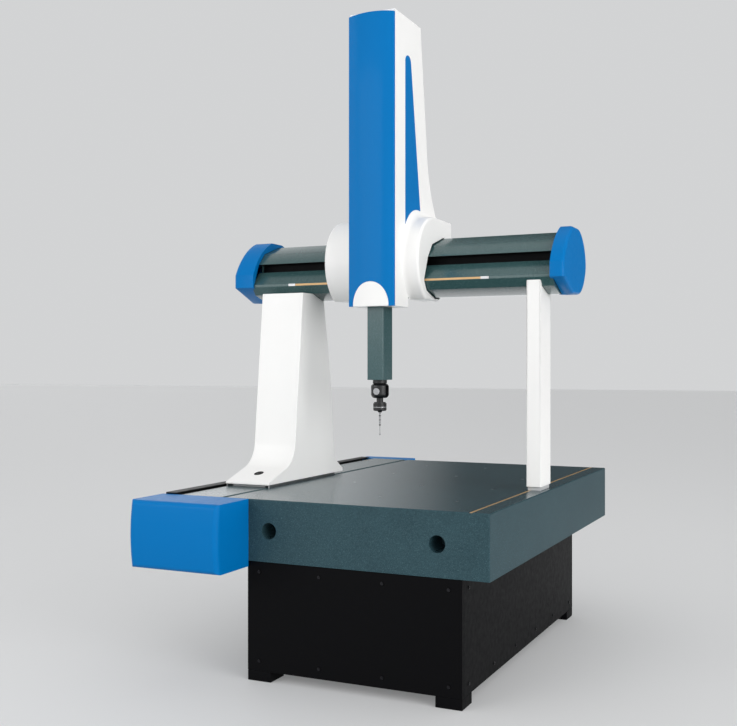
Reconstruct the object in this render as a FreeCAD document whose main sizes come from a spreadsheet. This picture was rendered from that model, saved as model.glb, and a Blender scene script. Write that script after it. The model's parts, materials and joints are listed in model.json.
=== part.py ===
import FreeCAD, Part
import math
import os
import re

import Sketcher

# Moving bridge coordinate measuring machine, in millimetres.
# Machine axes: X along the cross beam, Y towards the back, Z up.
# Machine zero is the floor under the middle of the granite table.
# Every piece is then shifted so that the part's origin is the middle of its footprint on the floor.

SIZES = {
    # granite table
    "table_height": 820, "granite_wide": 1270, "granite_long": 2140, "granite_thick": 280,
    "granite_edge": 4, "lift_radius": 37, "lift_deep": 150, "lift_spread": 808, "lift_drop": 140,
    "insert_radius": 8, "insert_bore": 3.4, "insert_deep": 24, "insert_step_x": 375, "insert_step_y": 500,
    "seat_gap": 0.05, "strip_inset": 82, "strip_wide": 12, "strip_thick": 1.5,
    # stand
    "stand_side": 120, "stand_front": 2, "stand_back": 310, "skirt": 47, "foot_side": 120,
    "sheet": 3, "pan_deep": 20, "panel_gap": 1, "tube": 100, "rail_tall": 80, "rest_radius": 48,
    "rest_tall": 40,
    # left hand guide
    "rail_gap": 20, "rail_wide": 225, "rail_tall_y": 180, "bracket_wide": 80, "bracket_arm": 25,
    "bracket_flange": 15, "bracket_drop": 60, "bracket_pitch": 535, "scale_wide": 10, "scale_thick": 0.6,
    "guard_out": 84, "guard_cover": 59, "guard_rise": 8, "guard_sheet": 4,
    "belt_wide": 20, "belt_thick": 3, "belt_gap": 0.3, "pulley_radius": 30, "pulley_rim": 3,
    "shaft_radius": 8, "run_gap": 0.05, "motor_radius": 40, "motor_long": 130, "motor_face": 44, "cheek": 8,
    # covers at both ends of the guide
    "front_cover_long": 262, "rear_cover_long": 160, "cover_wide": 470, "cover_rear_wide": 345,
    "cover_tall": 306, "cover_wall": 4, "cover_round": 26, "cover_bulge": 14,
    # bridge
    "bridge_front": 829, "air_gap": 0.2, "pad_thick": 12, "leg_gap": 5, "leg_wide": 245, "leg_toe": 439,
    "toe_thick": 10, "toe_rise": 96, "leg_foot": 171, "leg_top": 79,
    "leg_heel": 385, "heel_thick": 18, "heel_rise": 83, "heel_in": 106, "leg_back": 241, "leg_back_up": 518,
    "leg_back_top": 156, "flare_front": 140, "flare_back": 60, "leg_core_wide": 190,
    "leg_core_deep": 170, "leg_core_tall": 820, "skirt_thick": 8, "skirt_reach": 120, "skirt_long": 700,
    "skirt_setback": 100,
    "side_pad": 5, "access_radius": 25, "access_in": 118,
    "post_wide": 72, "post_deep": 177, "post_front": 8, "post_inset": 24, "post_round": 5, "post_pad": 18,
    # cross beam section, heights from its underside and depths from its front
    "bridge_clear": 956, "beam_deep": 264, "beam_tall": 316, "beam_knee": 31, "beam_knee_up": 32,
    "beam_heel": 138, "belly_low": 73, "belly_high": 87, "face_in": 73, "face_top": 159, "groove_in": 101,
    "groove_top": 201, "lip_in": 50, "crown_in": 110, "crown_up": 263, "beam_back_low": 60,
    "x_scale_left": 760, "x_scale_long": 1100,
    "beam_past_leg": 100, "beam_past_post": 48, "beam_tail": 12, "core_radius": 50, "core_back": 90,
    "core_up": 150,
    # beam end caps
    "left_cap_long": 122, "right_cap_long": 70, "cap_wall": 4, "cap_thick": 10, "cap_round": 20,
    "cap_gap": 1,
    "cap_nose": 12, "cap_nose_low": 72, "cap_nose_high": 140, "cap_lip_in": 14, "cap_lip_up": 60,
    "cap_keel_in": 170, "cap_drop": 3, "cap_heel_in": 322, "cap_heel_up": 4, "cap_heel_bulge": 28,
    "cap_back_in": 446, "cap_back_up": 150, "cap_back_bulge": 42, "cap_crown_in": 190,
    "cap_crown_back": 300, "cap_crown_bulge": 27, "cap_top": 18,
    "x_pulley_radius": 24, "x_belt_back": 30, "x_pulley_up": 165, "plate_thick": 8, "x_motor_long": 95,
    # carriage
    "carriage_mid": 195, "sleeve_left": 194, "sleeve_right": 86, "sleeve_high": 414, "sleeve_back": 124,
    "sleeve_low": 16, "sleeve_rise": 110, "sleeve_front": 19, "sleeve_top_in": 145,
    "sleeve_wall": 5, "sleeve_clear": 8, "sleeve_flare": 30, "panel_drop": 7,
    "sleeve_round": 16, "frame_clear": 12, "frame_top": 20, "frame_left": 240,
    "frame_right": 130, "x_pad_long": 90,
    # column
    "column_half": 124, "column_front": 207, "column_crown": 16, "column_low": 58, "column_tall": 1463,
    "column_wall": 4, "column_back_top": 154, "column_back_mid": 248, "column_mid_up": 798,
    "column_tail": 388, "column_tail_up": 482, "tail_sag": 24, "front_skin": 14, "front_arch": 8,
    "front_drop": 16, "header": 20, "header_tall": 40,
    "nose_half": 97, "nose_side": 88, "nose_in": 27, "nose_side_bulge": 8, "nose_crown": 35, "nose_gap": 0.3,
    "stripe_front": 141, "stripe_thick": 1.5, "stripe_top": 1274, "stripe_top_wide": 74, "stripe_tip": 32,
    "stripe_low": 417, "stripe_low_back": 507, "stripe_sag": 32, "stripe_low_wide": 197,
    # ram
    "ram_wide": 88, "ram_deep": 115, "ram_front": 143, "ram_long": 1365, "ram_out": 366, "ram_edge": 3,
    "ram_bore": 26, "guide_wall": 10, "guide_pad": 13.5, "guide_tall": 720, "guide_low": 12,
    "pad_face": 60, "pad_tall": 90, "z_pulley_radius": 20, "z_belt_back": 70, "z_low_pulley": 682,
    "z_high_pulley": 1394, "z_motor_radius": 34, "z_motor_long": 80, "spine_thick": 10, "spine_wide": 120,
    "web_rise": 150, "web_tall": 70,
    "clamp_thick": 15, "cylinder_radius": 21, "cylinder_wall": 3, "rod_radius": 6, "cylinder_tall": 690,
    "rod_long": 725, "cylinder_side": 94,
    # probe head
    "mount_radius": 36, "mount_tall": 20, "head_radius": 45, "head_low": 34, "head_drop": 58,
    "drum_radius": 27, "slot_half": 18, "slot_gap": 0.5, "pin_radius": 8, "pin_head": 17,
    "pin_head_thick": 4,
    "stub_radius": 17, "collar_radius": 30, "collar_thick": 6, "collar_drop": 54,
    "probe_radius": 34, "probe_tall": 38, "probe_neck": 10, "probe_nose": 8, "probe_round": 6,
    "stylus_bar": 4.5, "stylus_pivot": 5, "stylus_gap": 0.3, "stylus_bar_long": 58, "stylus_stem": 2,
    "stylus_long": 50, "ball_radius": 4,
}

doc = FreeCAD.newDocument("measuring_machine")


class Size:
    """A length that keeps its value beside the sheet expression that gives it."""

    def __init__(self, value, text):
        self.value = value
        self.text = text

    def join(self, other, sign, value, swap=False):
        first, second = (other.text, self.text) if swap else (self.text, other.text)
        return Size(value, f"({first} {sign} {second})")

    def __add__(self, other):
        other = size(other)
        return self.join(other, "+", self.value + other.value)

    def __sub__(self, other):
        other = size(other)
        return self.join(other, "-", self.value - other.value)

    def __mul__(self, other):
        other = size(other)
        return self.join(other, "*", self.value * other.value)

    def __truediv__(self, other):
        other = size(other)
        return self.join(other, "/", self.value / other.value)

    def __rsub__(self, other):
        other = size(other)
        return self.join(other, "-", other.value - self.value, swap=True)

    def __neg__(self):
        return Size(-self.value, f"(0 - {self.text})")

    __radd__ = __add__
    __rmul__ = __mul__


def size(value):
    if isinstance(value, Size):
        return value
    return Size(float(value), f"({float(value)})")


def root(value):
    return Size(math.sqrt(value.value), f"sqrt({value.text})")


def smooth_bulge(along, across):
    """Bulge of an arc that meets its neighbour without a corner, from its run along and across it."""
    chord = root(along * along + across * across)
    return chord * (chord - along) / (2 * across)


class Sheet:
    """The driving dimensions, one cell each, read back as sizes."""

    def __init__(self, numbers):
        self.cells = doc.addObject("Spreadsheet::Sheet", "sizes")
        for row, (name, number) in enumerate(numbers.items(), 1):
            self.cells.set(f"A{row}", name)
            self.cells.set(f"B{row}", str(number))
            self.cells.setAlias(f"B{row}", name)
            setattr(self, name, Size(float(number), f"sizes.{name}"))


d = Sheet(SIZES)
doc.recompute()
NODES = []


def bind(item, path, value):
    item.setExpression(path, size(value).text)


# places that several pieces share

granite_top = d.table_height
granite_low = d.table_height - d.granite_thick
half_wide = d.granite_wide / 2
half_long = d.granite_long / 2
stand_x = half_wide - d.stand_side
stand_y0 = -half_long + d.stand_front
stand_y1 = half_long - d.stand_back
frame_low = d.skirt
frame_top = granite_low - d.rest_tall
frame_in = d.pan_deep + d.panel_gap

rail_right = -half_wide - d.rail_gap
rail_left = rail_right - d.rail_wide
rail_low = granite_top - d.rail_tall_y
guard_left = rail_left - d.guard_out
guard_top = granite_top + d.guard_rise
cover_left = guard_left - 16
cover_low = granite_top - d.cover_tall
cover_front = -half_long - d.front_cover_long
cover_back = half_long + d.rear_cover_long
y_belt_x = rail_left - 64
y_belt_z = granite_top - 60

bridge_y = -half_long + d.bridge_front
beam_low = granite_top + d.bridge_clear
beam_back = bridge_y + d.beam_deep
leg_right = -half_wide - d.leg_gap
leg_left = leg_right - d.leg_wide
leg_low = granite_top + d.air_gap + d.pad_thick
post_right = half_wide - d.post_inset
post_left = post_right - d.post_wide

beam_x0 = leg_left - d.beam_past_leg
beam_x1 = post_right + d.beam_past_post
cap_x0 = beam_x0 - d.left_cap_long
cap_x1 = beam_x1 + d.right_cap_long

mid_x = -d.carriage_mid
column_x0 = mid_x - d.column_half
column_x1 = mid_x + d.column_half
column_y0 = bridge_y - d.column_front + d.column_crown
column_z0 = beam_low - d.column_low
column_z1 = column_z0 + d.column_tall
sleeve_x0 = column_x0 - d.sleeve_left
sleeve_x1 = column_x1 + d.sleeve_right

ram_y0 = bridge_y - d.ram_front
ram_y1 = ram_y0 + d.ram_deep
ram_mid_y = ram_y0 + d.ram_deep / 2
ram_z0 = column_z0 - d.ram_out
ram_z1 = ram_z0 + d.ram_long
head_z = ram_z0 - d.head_drop
tube_y0 = ram_y0 - d.guide_pad - d.air_gap - d.guide_wall
tube_y1 = ram_y1 + d.guide_pad + d.air_gap + d.guide_wall
tube_half = d.ram_wide / 2 + d.guide_pad + d.air_gap + d.guide_wall
tube_z0 = column_z0 + d.guide_low
tube_z1 = tube_z0 + d.guide_tall
spine_y = tube_y1 + d.z_belt_back
z_belt_y = tube_y1 + d.z_belt_back / 2

shift = (-(cap_x0 + cap_x1) / 2, -(cover_front + cover_back) / 2, size(0))


def place(item, x, y, z):
    bind(item, "Placement.Base.x", x)
    bind(item, "Placement.Base.y", y)
    bind(item, "Placement.Base.z", z)


def keep(item, label):
    """Shift a finished sub-part to the part's origin and list it for export."""
    item.Label = label
    place(item, *shift)
    NODES.append(item)
    return item


# solids from primitives

def box(name, low, span):
    item = doc.addObject("Part::Box", name)
    for key, value in zip(("Length", "Width", "Height"), span):
        bind(item, key, value)
    place(item, *low)
    return item


def box_between(name, low, high):
    return box(name, low, [size(b) - size(a) for a, b in zip(low, high)])


TURN = {
    "x": FreeCAD.Rotation(FreeCAD.Vector(0, 1, 0), 90),
    "y": FreeCAD.Rotation(FreeCAD.Vector(1, 0, 0), -90),
    "z": FreeCAD.Rotation(),
}


def rod(name, start, radius, length, axis="z"):
    item = doc.addObject("Part::Cylinder", name)
    bind(item, "Radius", radius)
    bind(item, "Height", length)
    item.Placement.Rotation = TURN[axis]
    place(item, *start)
    return item


def cut(name, base, *tools):
    tool = tools[0] if len(tools) == 1 else fuse(f"{name}_tools", *tools)
    item = doc.addObject("Part::Cut", name)
    item.Base = base
    item.Tool = tool
    return item


LIE = {
    "XZ": (FreeCAD.Rotation(FreeCAD.Vector(1, 0, 0), 90), FreeCAD.Vector(0, 1, 0), "y"),
    "YZ": (FreeCAD.Rotation(FreeCAD.Vector(1, 1, 1), 120), FreeCAD.Vector(1, 0, 0), "x"),
}


def slab(name, plane, level, points, length):
    """An outline in an upright plane, drawn out from level towards the back or the right."""
    turn, way, axis = LIE[plane]
    profile = doc.addObject("Sketcher::SketchObject", f"{name}_outline")
    profile.Placement.Rotation = turn
    bind(profile, f"Placement.Base.{axis}", level)
    outline(profile, points)
    item = doc.addObject("Part::Extrusion", name)
    item.Base = profile
    item.DirMode = "Custom"
    item.Dir = way
    item.Solid = True
    bind(item, "LengthFwd", length)
    return item


def fuse(name, *items):
    item = doc.addObject("Part::MultiFuse", name)
    item.Shapes = list(items)
    return item


def group(label, items):
    item = doc.addObject("Part::Compound", label)
    item.Links = list(items)
    return keep(item, label)


# bodies from sketches

def body(label):
    return keep(doc.addObject("PartDesign::Body", label), label)


def mirrored(label, source, x):
    """The same piece, handed the other way across an upright plane at x."""
    item = doc.addObject("Part::Mirroring", label)
    item.Source = source
    item.Normal = FreeCAD.Vector(1, 0, 0)
    bind(item, "Base.x", x)
    return keep(item, label)


def sketch(owner, role, offset=0, centre=(0, 0)):
    """A sketch on one of the body's own planes: XY looks down, XZ from the front, YZ from the right."""
    plane = next(item for item in owner.Origin.OriginFeatures if item.Role == f"{role}_Plane")
    item = owner.newObject("Sketcher::SketchObject", f"{owner.Name}_sketch")
    item.AttachmentSupport = [(plane, "")]
    item.MapMode = "FlatFace"
    bind(item, "AttachmentOffset.Base.x", centre[0])
    bind(item, "AttachmentOffset.Base.y", centre[1])
    bind(item, "AttachmentOffset.Base.z", -size(offset) if role == "XZ" else size(offset))
    return item


def bulge_radius(start, end, bulge):
    run = [b - a for a, b in zip(start, end)]
    chord_squared = run[0] * run[0] + run[1] * run[1]
    return chord_squared / (8 * size(bulge)) + size(bulge) / 2


def outline(item, points):
    """A closed outline. A point's third value is how far the edge after it stands out to its right."""
    corners = [(size(point[0]), size(point[1])) for point in points]
    first = item.GeometryCount
    spots = [FreeCAD.Vector(x.value, y.value, 0) for x, y in corners]
    count = len(points)
    for index, point in enumerate(points):
        start, end = spots[index], spots[(index + 1) % count]
        if len(point) < 3:
            item.addGeometry(Part.LineSegment(start, end), False)
            continue
        run = end - start
        side = FreeCAD.Vector(run.y, -run.x, 0).normalize() * size(point[2]).value
        item.addGeometry(Part.Arc(start, (start + end) / 2 + side, end), False)
    backward = [len(point) > 2 and size(point[2]).value < 0 for point in points]
    for index, point in enumerate(points):
        following = (index + 1) % count
        near, far = (2, 1) if backward[index] else (1, 2)
        item.addConstraint(Sketcher.Constraint(
            "Coincident", first + index, far, first + following, 2 if backward[following] else 1))
        for kind, value in zip(("DistanceX", "DistanceY"), corners[index]):
            fix(item, kind, value, -1, 1, first + index, near)
        if len(point) < 3:
            continue
        bulge = size(point[2])
        chord = (spots[following] - spots[index])
        if abs(chord.Length - 2 * abs(bulge.value)) > 1e-6:
            radius = bulge_radius(corners[index], corners[following], -bulge if backward[index] else bulge)
            fix(item, "Radius", radius, first + index)
            continue
        across = 0 if abs(chord.y) > abs(chord.x) else 1
        middle = (corners[index][across] + corners[following][across]) / 2
        fix(item, ("DistanceX", "DistanceY")[across], middle, -1, 1, first + index, 3)


def fix(item, kind, value, *places):
    """A sketch dimension bound to its size."""
    number = item.addConstraint(Sketcher.Constraint(kind, *places, value.value))
    bind(item, f"Constraints[{number}]", value)


def rectangle(item, x0, y0, x1, y1):
    outline(item, [(x0, y0), (x1, y0), (x1, y1), (x0, y1)])


def circle(item, x, y, radius):
    x, y, radius = size(x), size(y), size(radius)
    centre = FreeCAD.Vector(x.value, y.value, 0)
    number = item.addGeometry(Part.Circle(centre, FreeCAD.Vector(0, 0, 1), radius.value), False)
    fix(item, "Radius", radius, number)
    fix(item, "DistanceX", x, -1, 1, number, 3)
    fix(item, "DistanceY", y, -1, 1, number, 3)


def pad(owner, profile, length, reverse=False):
    item = owner.newObject("PartDesign::Pad", f"{owner.Name}_pad")
    item.Profile = profile
    item.Reversed = reverse
    bind(item, "Length", length)
    return item


def pocket(owner, profile, length=None, reverse=False):
    before = solid_volume(owner)
    item = owner.newObject("PartDesign::Pocket", f"{owner.Name}_pocket")
    item.Profile = profile
    item.Reversed = reverse
    if length is None:
        item.Type = "ThroughAll"
    else:
        bind(item, "Length", length)
    if solid_volume(owner) >= before - 1e-3:
        raise ValueError(f"{owner.Label}: a pocket takes nothing away")
    return item


def solid_volume(owner):
    doc.recompute()
    return owner.Shape.Volume


def revolve(owner, profile):
    item = owner.newObject("PartDesign::Revolution", f"{owner.Name}_revolution")
    item.Profile = profile
    item.ReferenceAxis = (profile, ["V_Axis"])
    item.Angle = 360
    return item


def straight_edges(shape, direction, spots):
    """Names of the straight edges along one axis that pass through the given places across it."""
    along = "xyz".index(direction)
    names = []
    for number, edge in enumerate(shape.Edges, 1):
        if edge.Curve.TypeId != "Part::GeomLine":
            continue
        start, end = edge.Vertexes[0].Point, edge.Vertexes[-1].Point
        across = [axis for axis in range(3) if axis != along]
        if any(abs(start[axis] - end[axis]) > 1e-4 for axis in across):
            continue
        for spot in spots:
            if all(abs(start[axis] - size(value).value) < 0.05 for axis, value in zip(across, spot)):
                names.append(f"Edge{number}")
    return names


def edges_in_plane(shape, direction, level):
    """Names of the edges that lie in one plane."""
    axis = "xyz".index(direction)
    level = size(level).value
    names = []
    for number, edge in enumerate(shape.Edges, 1):
        bounds = edge.BoundBox
        low = (bounds.XMin, bounds.YMin, bounds.ZMin)[axis]
        high = (bounds.XMax, bounds.YMax, bounds.ZMax)[axis]
        if abs(low - level) < 0.02 and abs(high - level) < 0.02:
            names.append(f"Edge{number}")
    return names


def edges_between(shape, direction, start, end):
    """Names of the curved edges that lie between two levels along one axis."""
    axis = "xyz".index(direction)
    low, high = sorted((size(start).value, size(end).value))
    names = []
    for number, edge in enumerate(shape.Edges, 1):
        bounds = edge.BoundBox
        near = (bounds.XMin, bounds.YMin, bounds.ZMin)[axis]
        far = (bounds.XMax, bounds.YMax, bounds.ZMax)[axis]
        if edge.Curve.TypeId == "Part::GeomCircle" and near > low - 0.02 and far < high + 0.02:
            names.append(f"Edge{number}")
    return names


def dress(owner, kind, picker, radius):
    """Round (Fillet) or bevel (Chamfer) the edges that picker names on the finished shape so far."""
    doc.recompute()
    base = owner.Tip
    names = picker(base.Shape)
    if not names:
        raise ValueError(f"{owner.Label}: no edge to dress")
    item = owner.newObject(f"PartDesign::{kind}", f"{owner.Name}_{kind.lower()}")
    item.Base = (base, names)
    bind(item, "Radius" if kind == "Fillet" else "Size", radius)
    return item


def round_rim(owner, x_end, radius):
    """Round the rim of a hood's left end with three narrow facets."""
    first, second = radius * 0.62, radius * 0.25
    dress(owner, "Chamfer", lambda shape: edges_in_plane(shape, "x", x_end), first)
    dress(owner, "Chamfer", lambda shape: edges_in_plane(shape, "x", x_end)
          + edges_in_plane(shape, "x", x_end + first), second)


def loft_rim(owner, x_end, radius, section):
    """Round a hood's left end with a loft through its section, drawn in by more and more."""
    rings = []
    for depth in (radius, radius / 2, radius / 5, size(0)):
        ring = sketch(owner, "YZ", x_end + depth)
        outline(ring, section(radius - root(radius * radius - (radius - depth) * (radius - depth))))
        rings.append(ring)
    loft = owner.newObject("PartDesign::AdditiveLoft", f"{owner.Name}_rim")
    loft.Profile = rings[0]
    loft.Sections = rings[1:]
    loft.Ruled = True


def line_height(start, end, y):
    """Height of the line from start to end at the depth y."""
    return start[1] + (y - start[0]) * (end[1] - start[1]) / (end[0] - start[0])


# stand

def levelling_feet():
    feet = []
    for number, (x, y) in enumerate([
            (-stand_x, stand_y0), (stand_x - d.foot_side, stand_y0),
            (-stand_x, stand_y1 - d.foot_side), (stand_x - d.foot_side, stand_y1 - d.foot_side)]):
        block = box(f"foot_{number}", (x, y, 0), (d.foot_side, d.foot_side, d.skirt))
        feet.append(block)
    group("levelling_feet", feet)


def stand_frame():
    item = body("stand_frame")
    x1 = stand_x - frame_in
    y0, y1 = stand_y0 + frame_in, stand_y1 - frame_in
    ring = sketch(item, "XY", frame_low)
    rectangle(ring, -x1, y0, x1, y1)
    rectangle(ring, -x1 + d.tube, y0 + d.tube, x1 - d.tube, y1 - d.tube)
    pad(item, ring, d.rail_tall)
    posts = sketch(item, "XY", frame_low)
    for x in (-x1, x1 - d.tube):
        for y in (y0, y1 - d.tube):
            rectangle(posts, x, y, x + d.tube, y + d.tube)
    pad(item, posts, frame_top - frame_low)
    ring = sketch(item, "XY", frame_top)
    rectangle(ring, -x1, y0, x1, y1)
    rectangle(ring, -x1 + d.tube, y0 + d.tube, x1 - d.tube, y1 - d.tube)
    pad(item, ring, d.rail_tall, reverse=True)


def pan(item, plane, level, inward, near, far):
    """A sheet panel with its edges folded back, from near to far along its plane."""
    turn = inward if plane == "XZ" else not inward
    step = d.pan_deep if inward else -d.pan_deep
    face = sketch(item, plane, level)
    rectangle(face, near, d.skirt, far, granite_low - d.panel_gap)
    pad(item, face, d.pan_deep, reverse=turn)
    back = sketch(item, plane, level + step)
    rectangle(back, near + d.sheet, d.skirt + d.sheet, far - d.sheet, granite_low - d.panel_gap - d.sheet)
    pocket(item, back, d.pan_deep - d.sheet, reverse=turn)


def stand_panels():
    pan(body("front_panel"), "XZ", stand_y0, True, -stand_x, stand_x)
    pan(body("rear_panel"), "XZ", stand_y1, False, -stand_x, stand_x)
    y0 = stand_y0 + d.pan_deep + d.panel_gap
    y1 = stand_y1 - d.pan_deep - d.panel_gap
    pan(body("left_panel"), "YZ", -stand_x, True, y0, y1)
    pan(body("right_panel"), "YZ", stand_x, False, y0, y1)


def support_pads():
    front = stand_y0 + frame_in + d.tube / 2
    rear = stand_y1 - frame_in - d.tube / 2
    side = stand_x - frame_in - d.tube
    spots = [(-side, front), (side, front), (size(0), rear)]
    pads = [rod(f"rest_{number}", (x, y, frame_top), d.rest_radius, d.rest_tall)
            for number, (x, y) in enumerate(spots)]
    group("support_pads", pads)


# granite table

def insert_places():
    rows = [(-1.5, "a"), (-0.5, "b"), (0.5, "c"), (1.5, "d")]
    return [(d.insert_step_x * column, d.insert_step_y * row) for row, _ in rows for column in (-1, 0, 1)]


def granite_table():
    item = body("granite_table")
    top = sketch(item, "XY", granite_top)
    rectangle(top, -half_wide, -half_long, half_wide, half_long)
    pad(item, top, d.granite_thick, reverse=True)
    dress(item, "Chamfer", lambda shape: edges_in_plane(shape, "z", granite_top)
          + straight_edges(shape, "z", [(x, y) for x in (-half_wide, half_wide)
                                        for y in (-half_long, half_long)]), d.granite_edge)
    for y, reverse in ((-half_long, False), (half_long, True)):
        ends = sketch(item, "XZ", y)
        for side in (-1, 1):
            circle(ends, d.lift_spread / 2 * side, granite_top - d.lift_drop, d.lift_radius)
        pocket(item, ends, d.lift_deep, reverse)
    seats = sketch(item, "XY", granite_top)
    for x, y in insert_places():
        circle(seats, x, y, d.insert_radius + d.seat_gap)
    pocket(item, seats, d.insert_deep)
    groove = sketch(item, "XY", granite_top)
    strip_x = half_wide - d.strip_inset
    rectangle(groove, strip_x - d.strip_wide / 2 - d.seat_gap, -half_long - 1,
              strip_x + d.strip_wide / 2 + d.seat_gap, half_long + 1)
    pocket(item, groove, d.strip_thick)


def threaded_inserts():
    inserts = []
    for number, (x, y) in enumerate(insert_places()):
        low = granite_top - d.insert_deep
        bush = rod(f"bush_{number}", (x, y, low), d.insert_radius, d.insert_deep)
        bore = rod(f"bush_bore_{number}", (x, y, low - 1), d.insert_bore, d.insert_deep + 2)
        inserts.append(cut(f"insert_{number}", bush, bore))
    group("threaded_inserts", inserts)


def track_strip():
    x = half_wide - d.strip_inset - d.strip_wide / 2
    group("track_strip", [box("track_strip_bar", (x, -half_long + 2, granite_top - d.strip_thick),
                              (d.strip_wide, d.granite_long - 4, d.strip_thick - d.seat_gap))])


# guide on the left side

def guide_rail():
    item = body("guide_rail")
    section = sketch(item, "XZ", -half_long)
    outline(section, [
        (rail_left, rail_low), (rail_right, rail_low), (rail_right, granite_top), (rail_left, granite_top)])
    pad(item, section, d.granite_long, reverse=True)
    dress(item, "Chamfer", lambda shape: straight_edges(
        shape, "y", [(rail_left, granite_top), (rail_right, granite_top)]), d.granite_edge)


def rail_brackets():
    """Gusseted arms bolted to the table's side, under the rail and out to the belt guard."""
    brackets = []
    low = rail_low - d.bracket_drop
    section = [
        (-half_wide, low), (-half_wide, rail_low), (guard_left, rail_low),
        (guard_left, rail_low - d.bracket_arm), (rail_left + 60, rail_low - d.bracket_arm - 4),
        (-half_wide - d.bracket_flange, low)]
    for number in range(4):
        y = d.bracket_pitch * (number - 1.5) - d.bracket_wide / 2
        brackets.append(slab(f"bracket_{number}", "XZ", y, section, d.bracket_wide))
    group("rail_brackets", brackets)


def belt_guard():
    """A channel along the outer side of the guide, open towards the rail."""
    item = body("belt_guard")
    section = sketch(item, "XZ", -half_long)
    top_edge = guard_left + d.guard_cover
    outline(section, [
        (guard_left, rail_low), (rail_left - 2, rail_low), (rail_left - 2, rail_low + d.guard_sheet),
        (guard_left + d.guard_sheet, rail_low + d.guard_sheet),
        (guard_left + d.guard_sheet, guard_top - d.guard_sheet), (top_edge, guard_top - d.guard_sheet),
        (top_edge, guard_top), (guard_left, guard_top)])
    pad(item, section, d.granite_long, reverse=True)


def scale_tape(label, low, span):
    group(label, [box(f"{label}_bar", low, span)])


def pulley(label, centre, radius, axis):
    """A flanged belt pulley, turned about its own axis, that runs on a plain shaft."""
    item = body(label)
    half = d.belt_wide / 2 + 1
    x, y, z = centre
    if axis == "x":
        profile = sketch(item, "XY", z, (x, y))
    else:
        profile = sketch(item, "YZ", x, (y, z))
    rim = radius + d.pulley_rim
    bore = d.shaft_radius + d.run_gap
    outline(profile, [
        (-half - 2, bore), (half + 2, bore), (half + 2, rim), (half, rim), (half, radius), (-half, radius),
        (-half, rim), (-half - 2, rim)])
    item_turn = revolve(item, profile)
    item_turn.ReferenceAxis = (profile, ["H_Axis"])
    return item


def belt_loop(label, low, high, radius, across, plane, along):
    """A closed belt round two pulleys whose axes lie across the plane."""
    item = body(label)
    half = d.belt_wide / 2
    profile = sketch(item, plane, across + half if plane == "XZ" else across - half)
    for reach in (radius + d.belt_gap + d.belt_thick, radius + d.belt_gap):
        if along == "first":
            points = [(low[0], low[1] - reach), (high[0], high[1] - reach, reach),
                      (high[0], high[1] + reach), (low[0], low[1] + reach, reach)]
        else:
            points = [(high[0] + reach, high[1], reach), (high[0] - reach, high[1]),
                      (low[0] - reach, low[1], reach), (low[0] + reach, low[1])]
        outline(profile, points)
    pad(item, profile, d.belt_wide)


def y_drive():
    centre_z = y_belt_z
    front_y, back_y = -half_long - 60, half_long + 70
    reach = d.belt_wide / 2 + 3.5
    belt_loop("y_belt", (front_y, centre_z), (back_y, centre_z), d.pulley_radius, y_belt_x, "YZ", "first")
    pulley("y_idler_pulley", (y_belt_x, front_y, centre_z), d.pulley_radius, "x")
    pulley("y_drive_pulley", (y_belt_x, back_y, centre_z), d.pulley_radius, "x")
    cheek = box_between("idler_cheek", (y_belt_x + reach, front_y - 24, centre_z - 24),
                        (y_belt_x + reach + d.cheek, -half_long - 12, centre_z + 24))
    plate = box_between("idler_plate", (y_belt_x + reach, -half_long - 12, rail_low),
                        (rail_right, -half_long, granite_top - 20))
    shaft = rod("idler_shaft", (y_belt_x - reach + 1, front_y, centre_z), d.shaft_radius, 2 * reach, "x")
    group("y_idler_bracket", [fuse("idler_bracket_solid", cheek, plate, shaft)])
    plate = box_between("motor_plate", (y_belt_x + reach, half_long, centre_z - d.motor_face),
                        (y_belt_x + reach + d.cheek, back_y + d.motor_face, centre_z + d.motor_face))
    foot = box_between("motor_foot", (y_belt_x + reach, half_long, rail_low),
                       (rail_right, half_long + 12, granite_top - 20))
    case = rod("motor_case", (y_belt_x + reach + d.cheek, back_y, centre_z), d.motor_radius,
               d.motor_long, "x")
    shaft = rod("motor_shaft", (y_belt_x - reach + 1, back_y, centre_z), d.shaft_radius,
                2 * reach + d.cheek, "x")
    group("y_motor", [fuse("y_motor_solid", plate, foot, case, shaft)])


# blue covers at the ends of the guide

def cover_side(y_open, y_end, toward, inset=0):
    """Side view of a hood: flat top, outer end bulging in one arc."""
    lead = y_end + (d.cover_bulge + (d.cover_round if inset else 0)) * toward
    low, top = cover_low + inset, granite_top - inset
    if toward > 0:
        return [(lead, low), (y_open, low), (y_open, top), (lead, top, d.cover_bulge)]
    return [(y_open, low), (lead, low, d.cover_bulge), (lead, top), (y_open, top)]


def end_cover(label, y_open, y_end, wide, toward):
    """A moulded hood over one end of the guide, open towards the table."""
    item = body(label)
    profile = sketch(item, "YZ", cover_left)
    outline(profile, cover_side(y_open, y_end, toward))
    pad(item, profile, wide)
    lead = y_end + d.cover_bulge * toward
    dress(item, "Fillet", lambda shape: straight_edges(shape, "x", [(lead, cover_low), (lead, granite_top)])
          + edges_between(shape, "y", y_end, lead), d.cover_round)
    inside = sketch(item, "YZ", cover_left + d.cover_wall)
    outline(inside, cover_side(y_open + toward, y_end, toward, d.cover_wall))
    pocket(item, inside, wide - 2 * d.cover_wall, reverse=True)


def end_covers():
    end_cover("front_cover", -half_long, cover_front, d.cover_wide, 1)
    end_cover("rear_cover", half_long, cover_back, d.cover_rear_wide, -1)


# bridge

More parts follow.
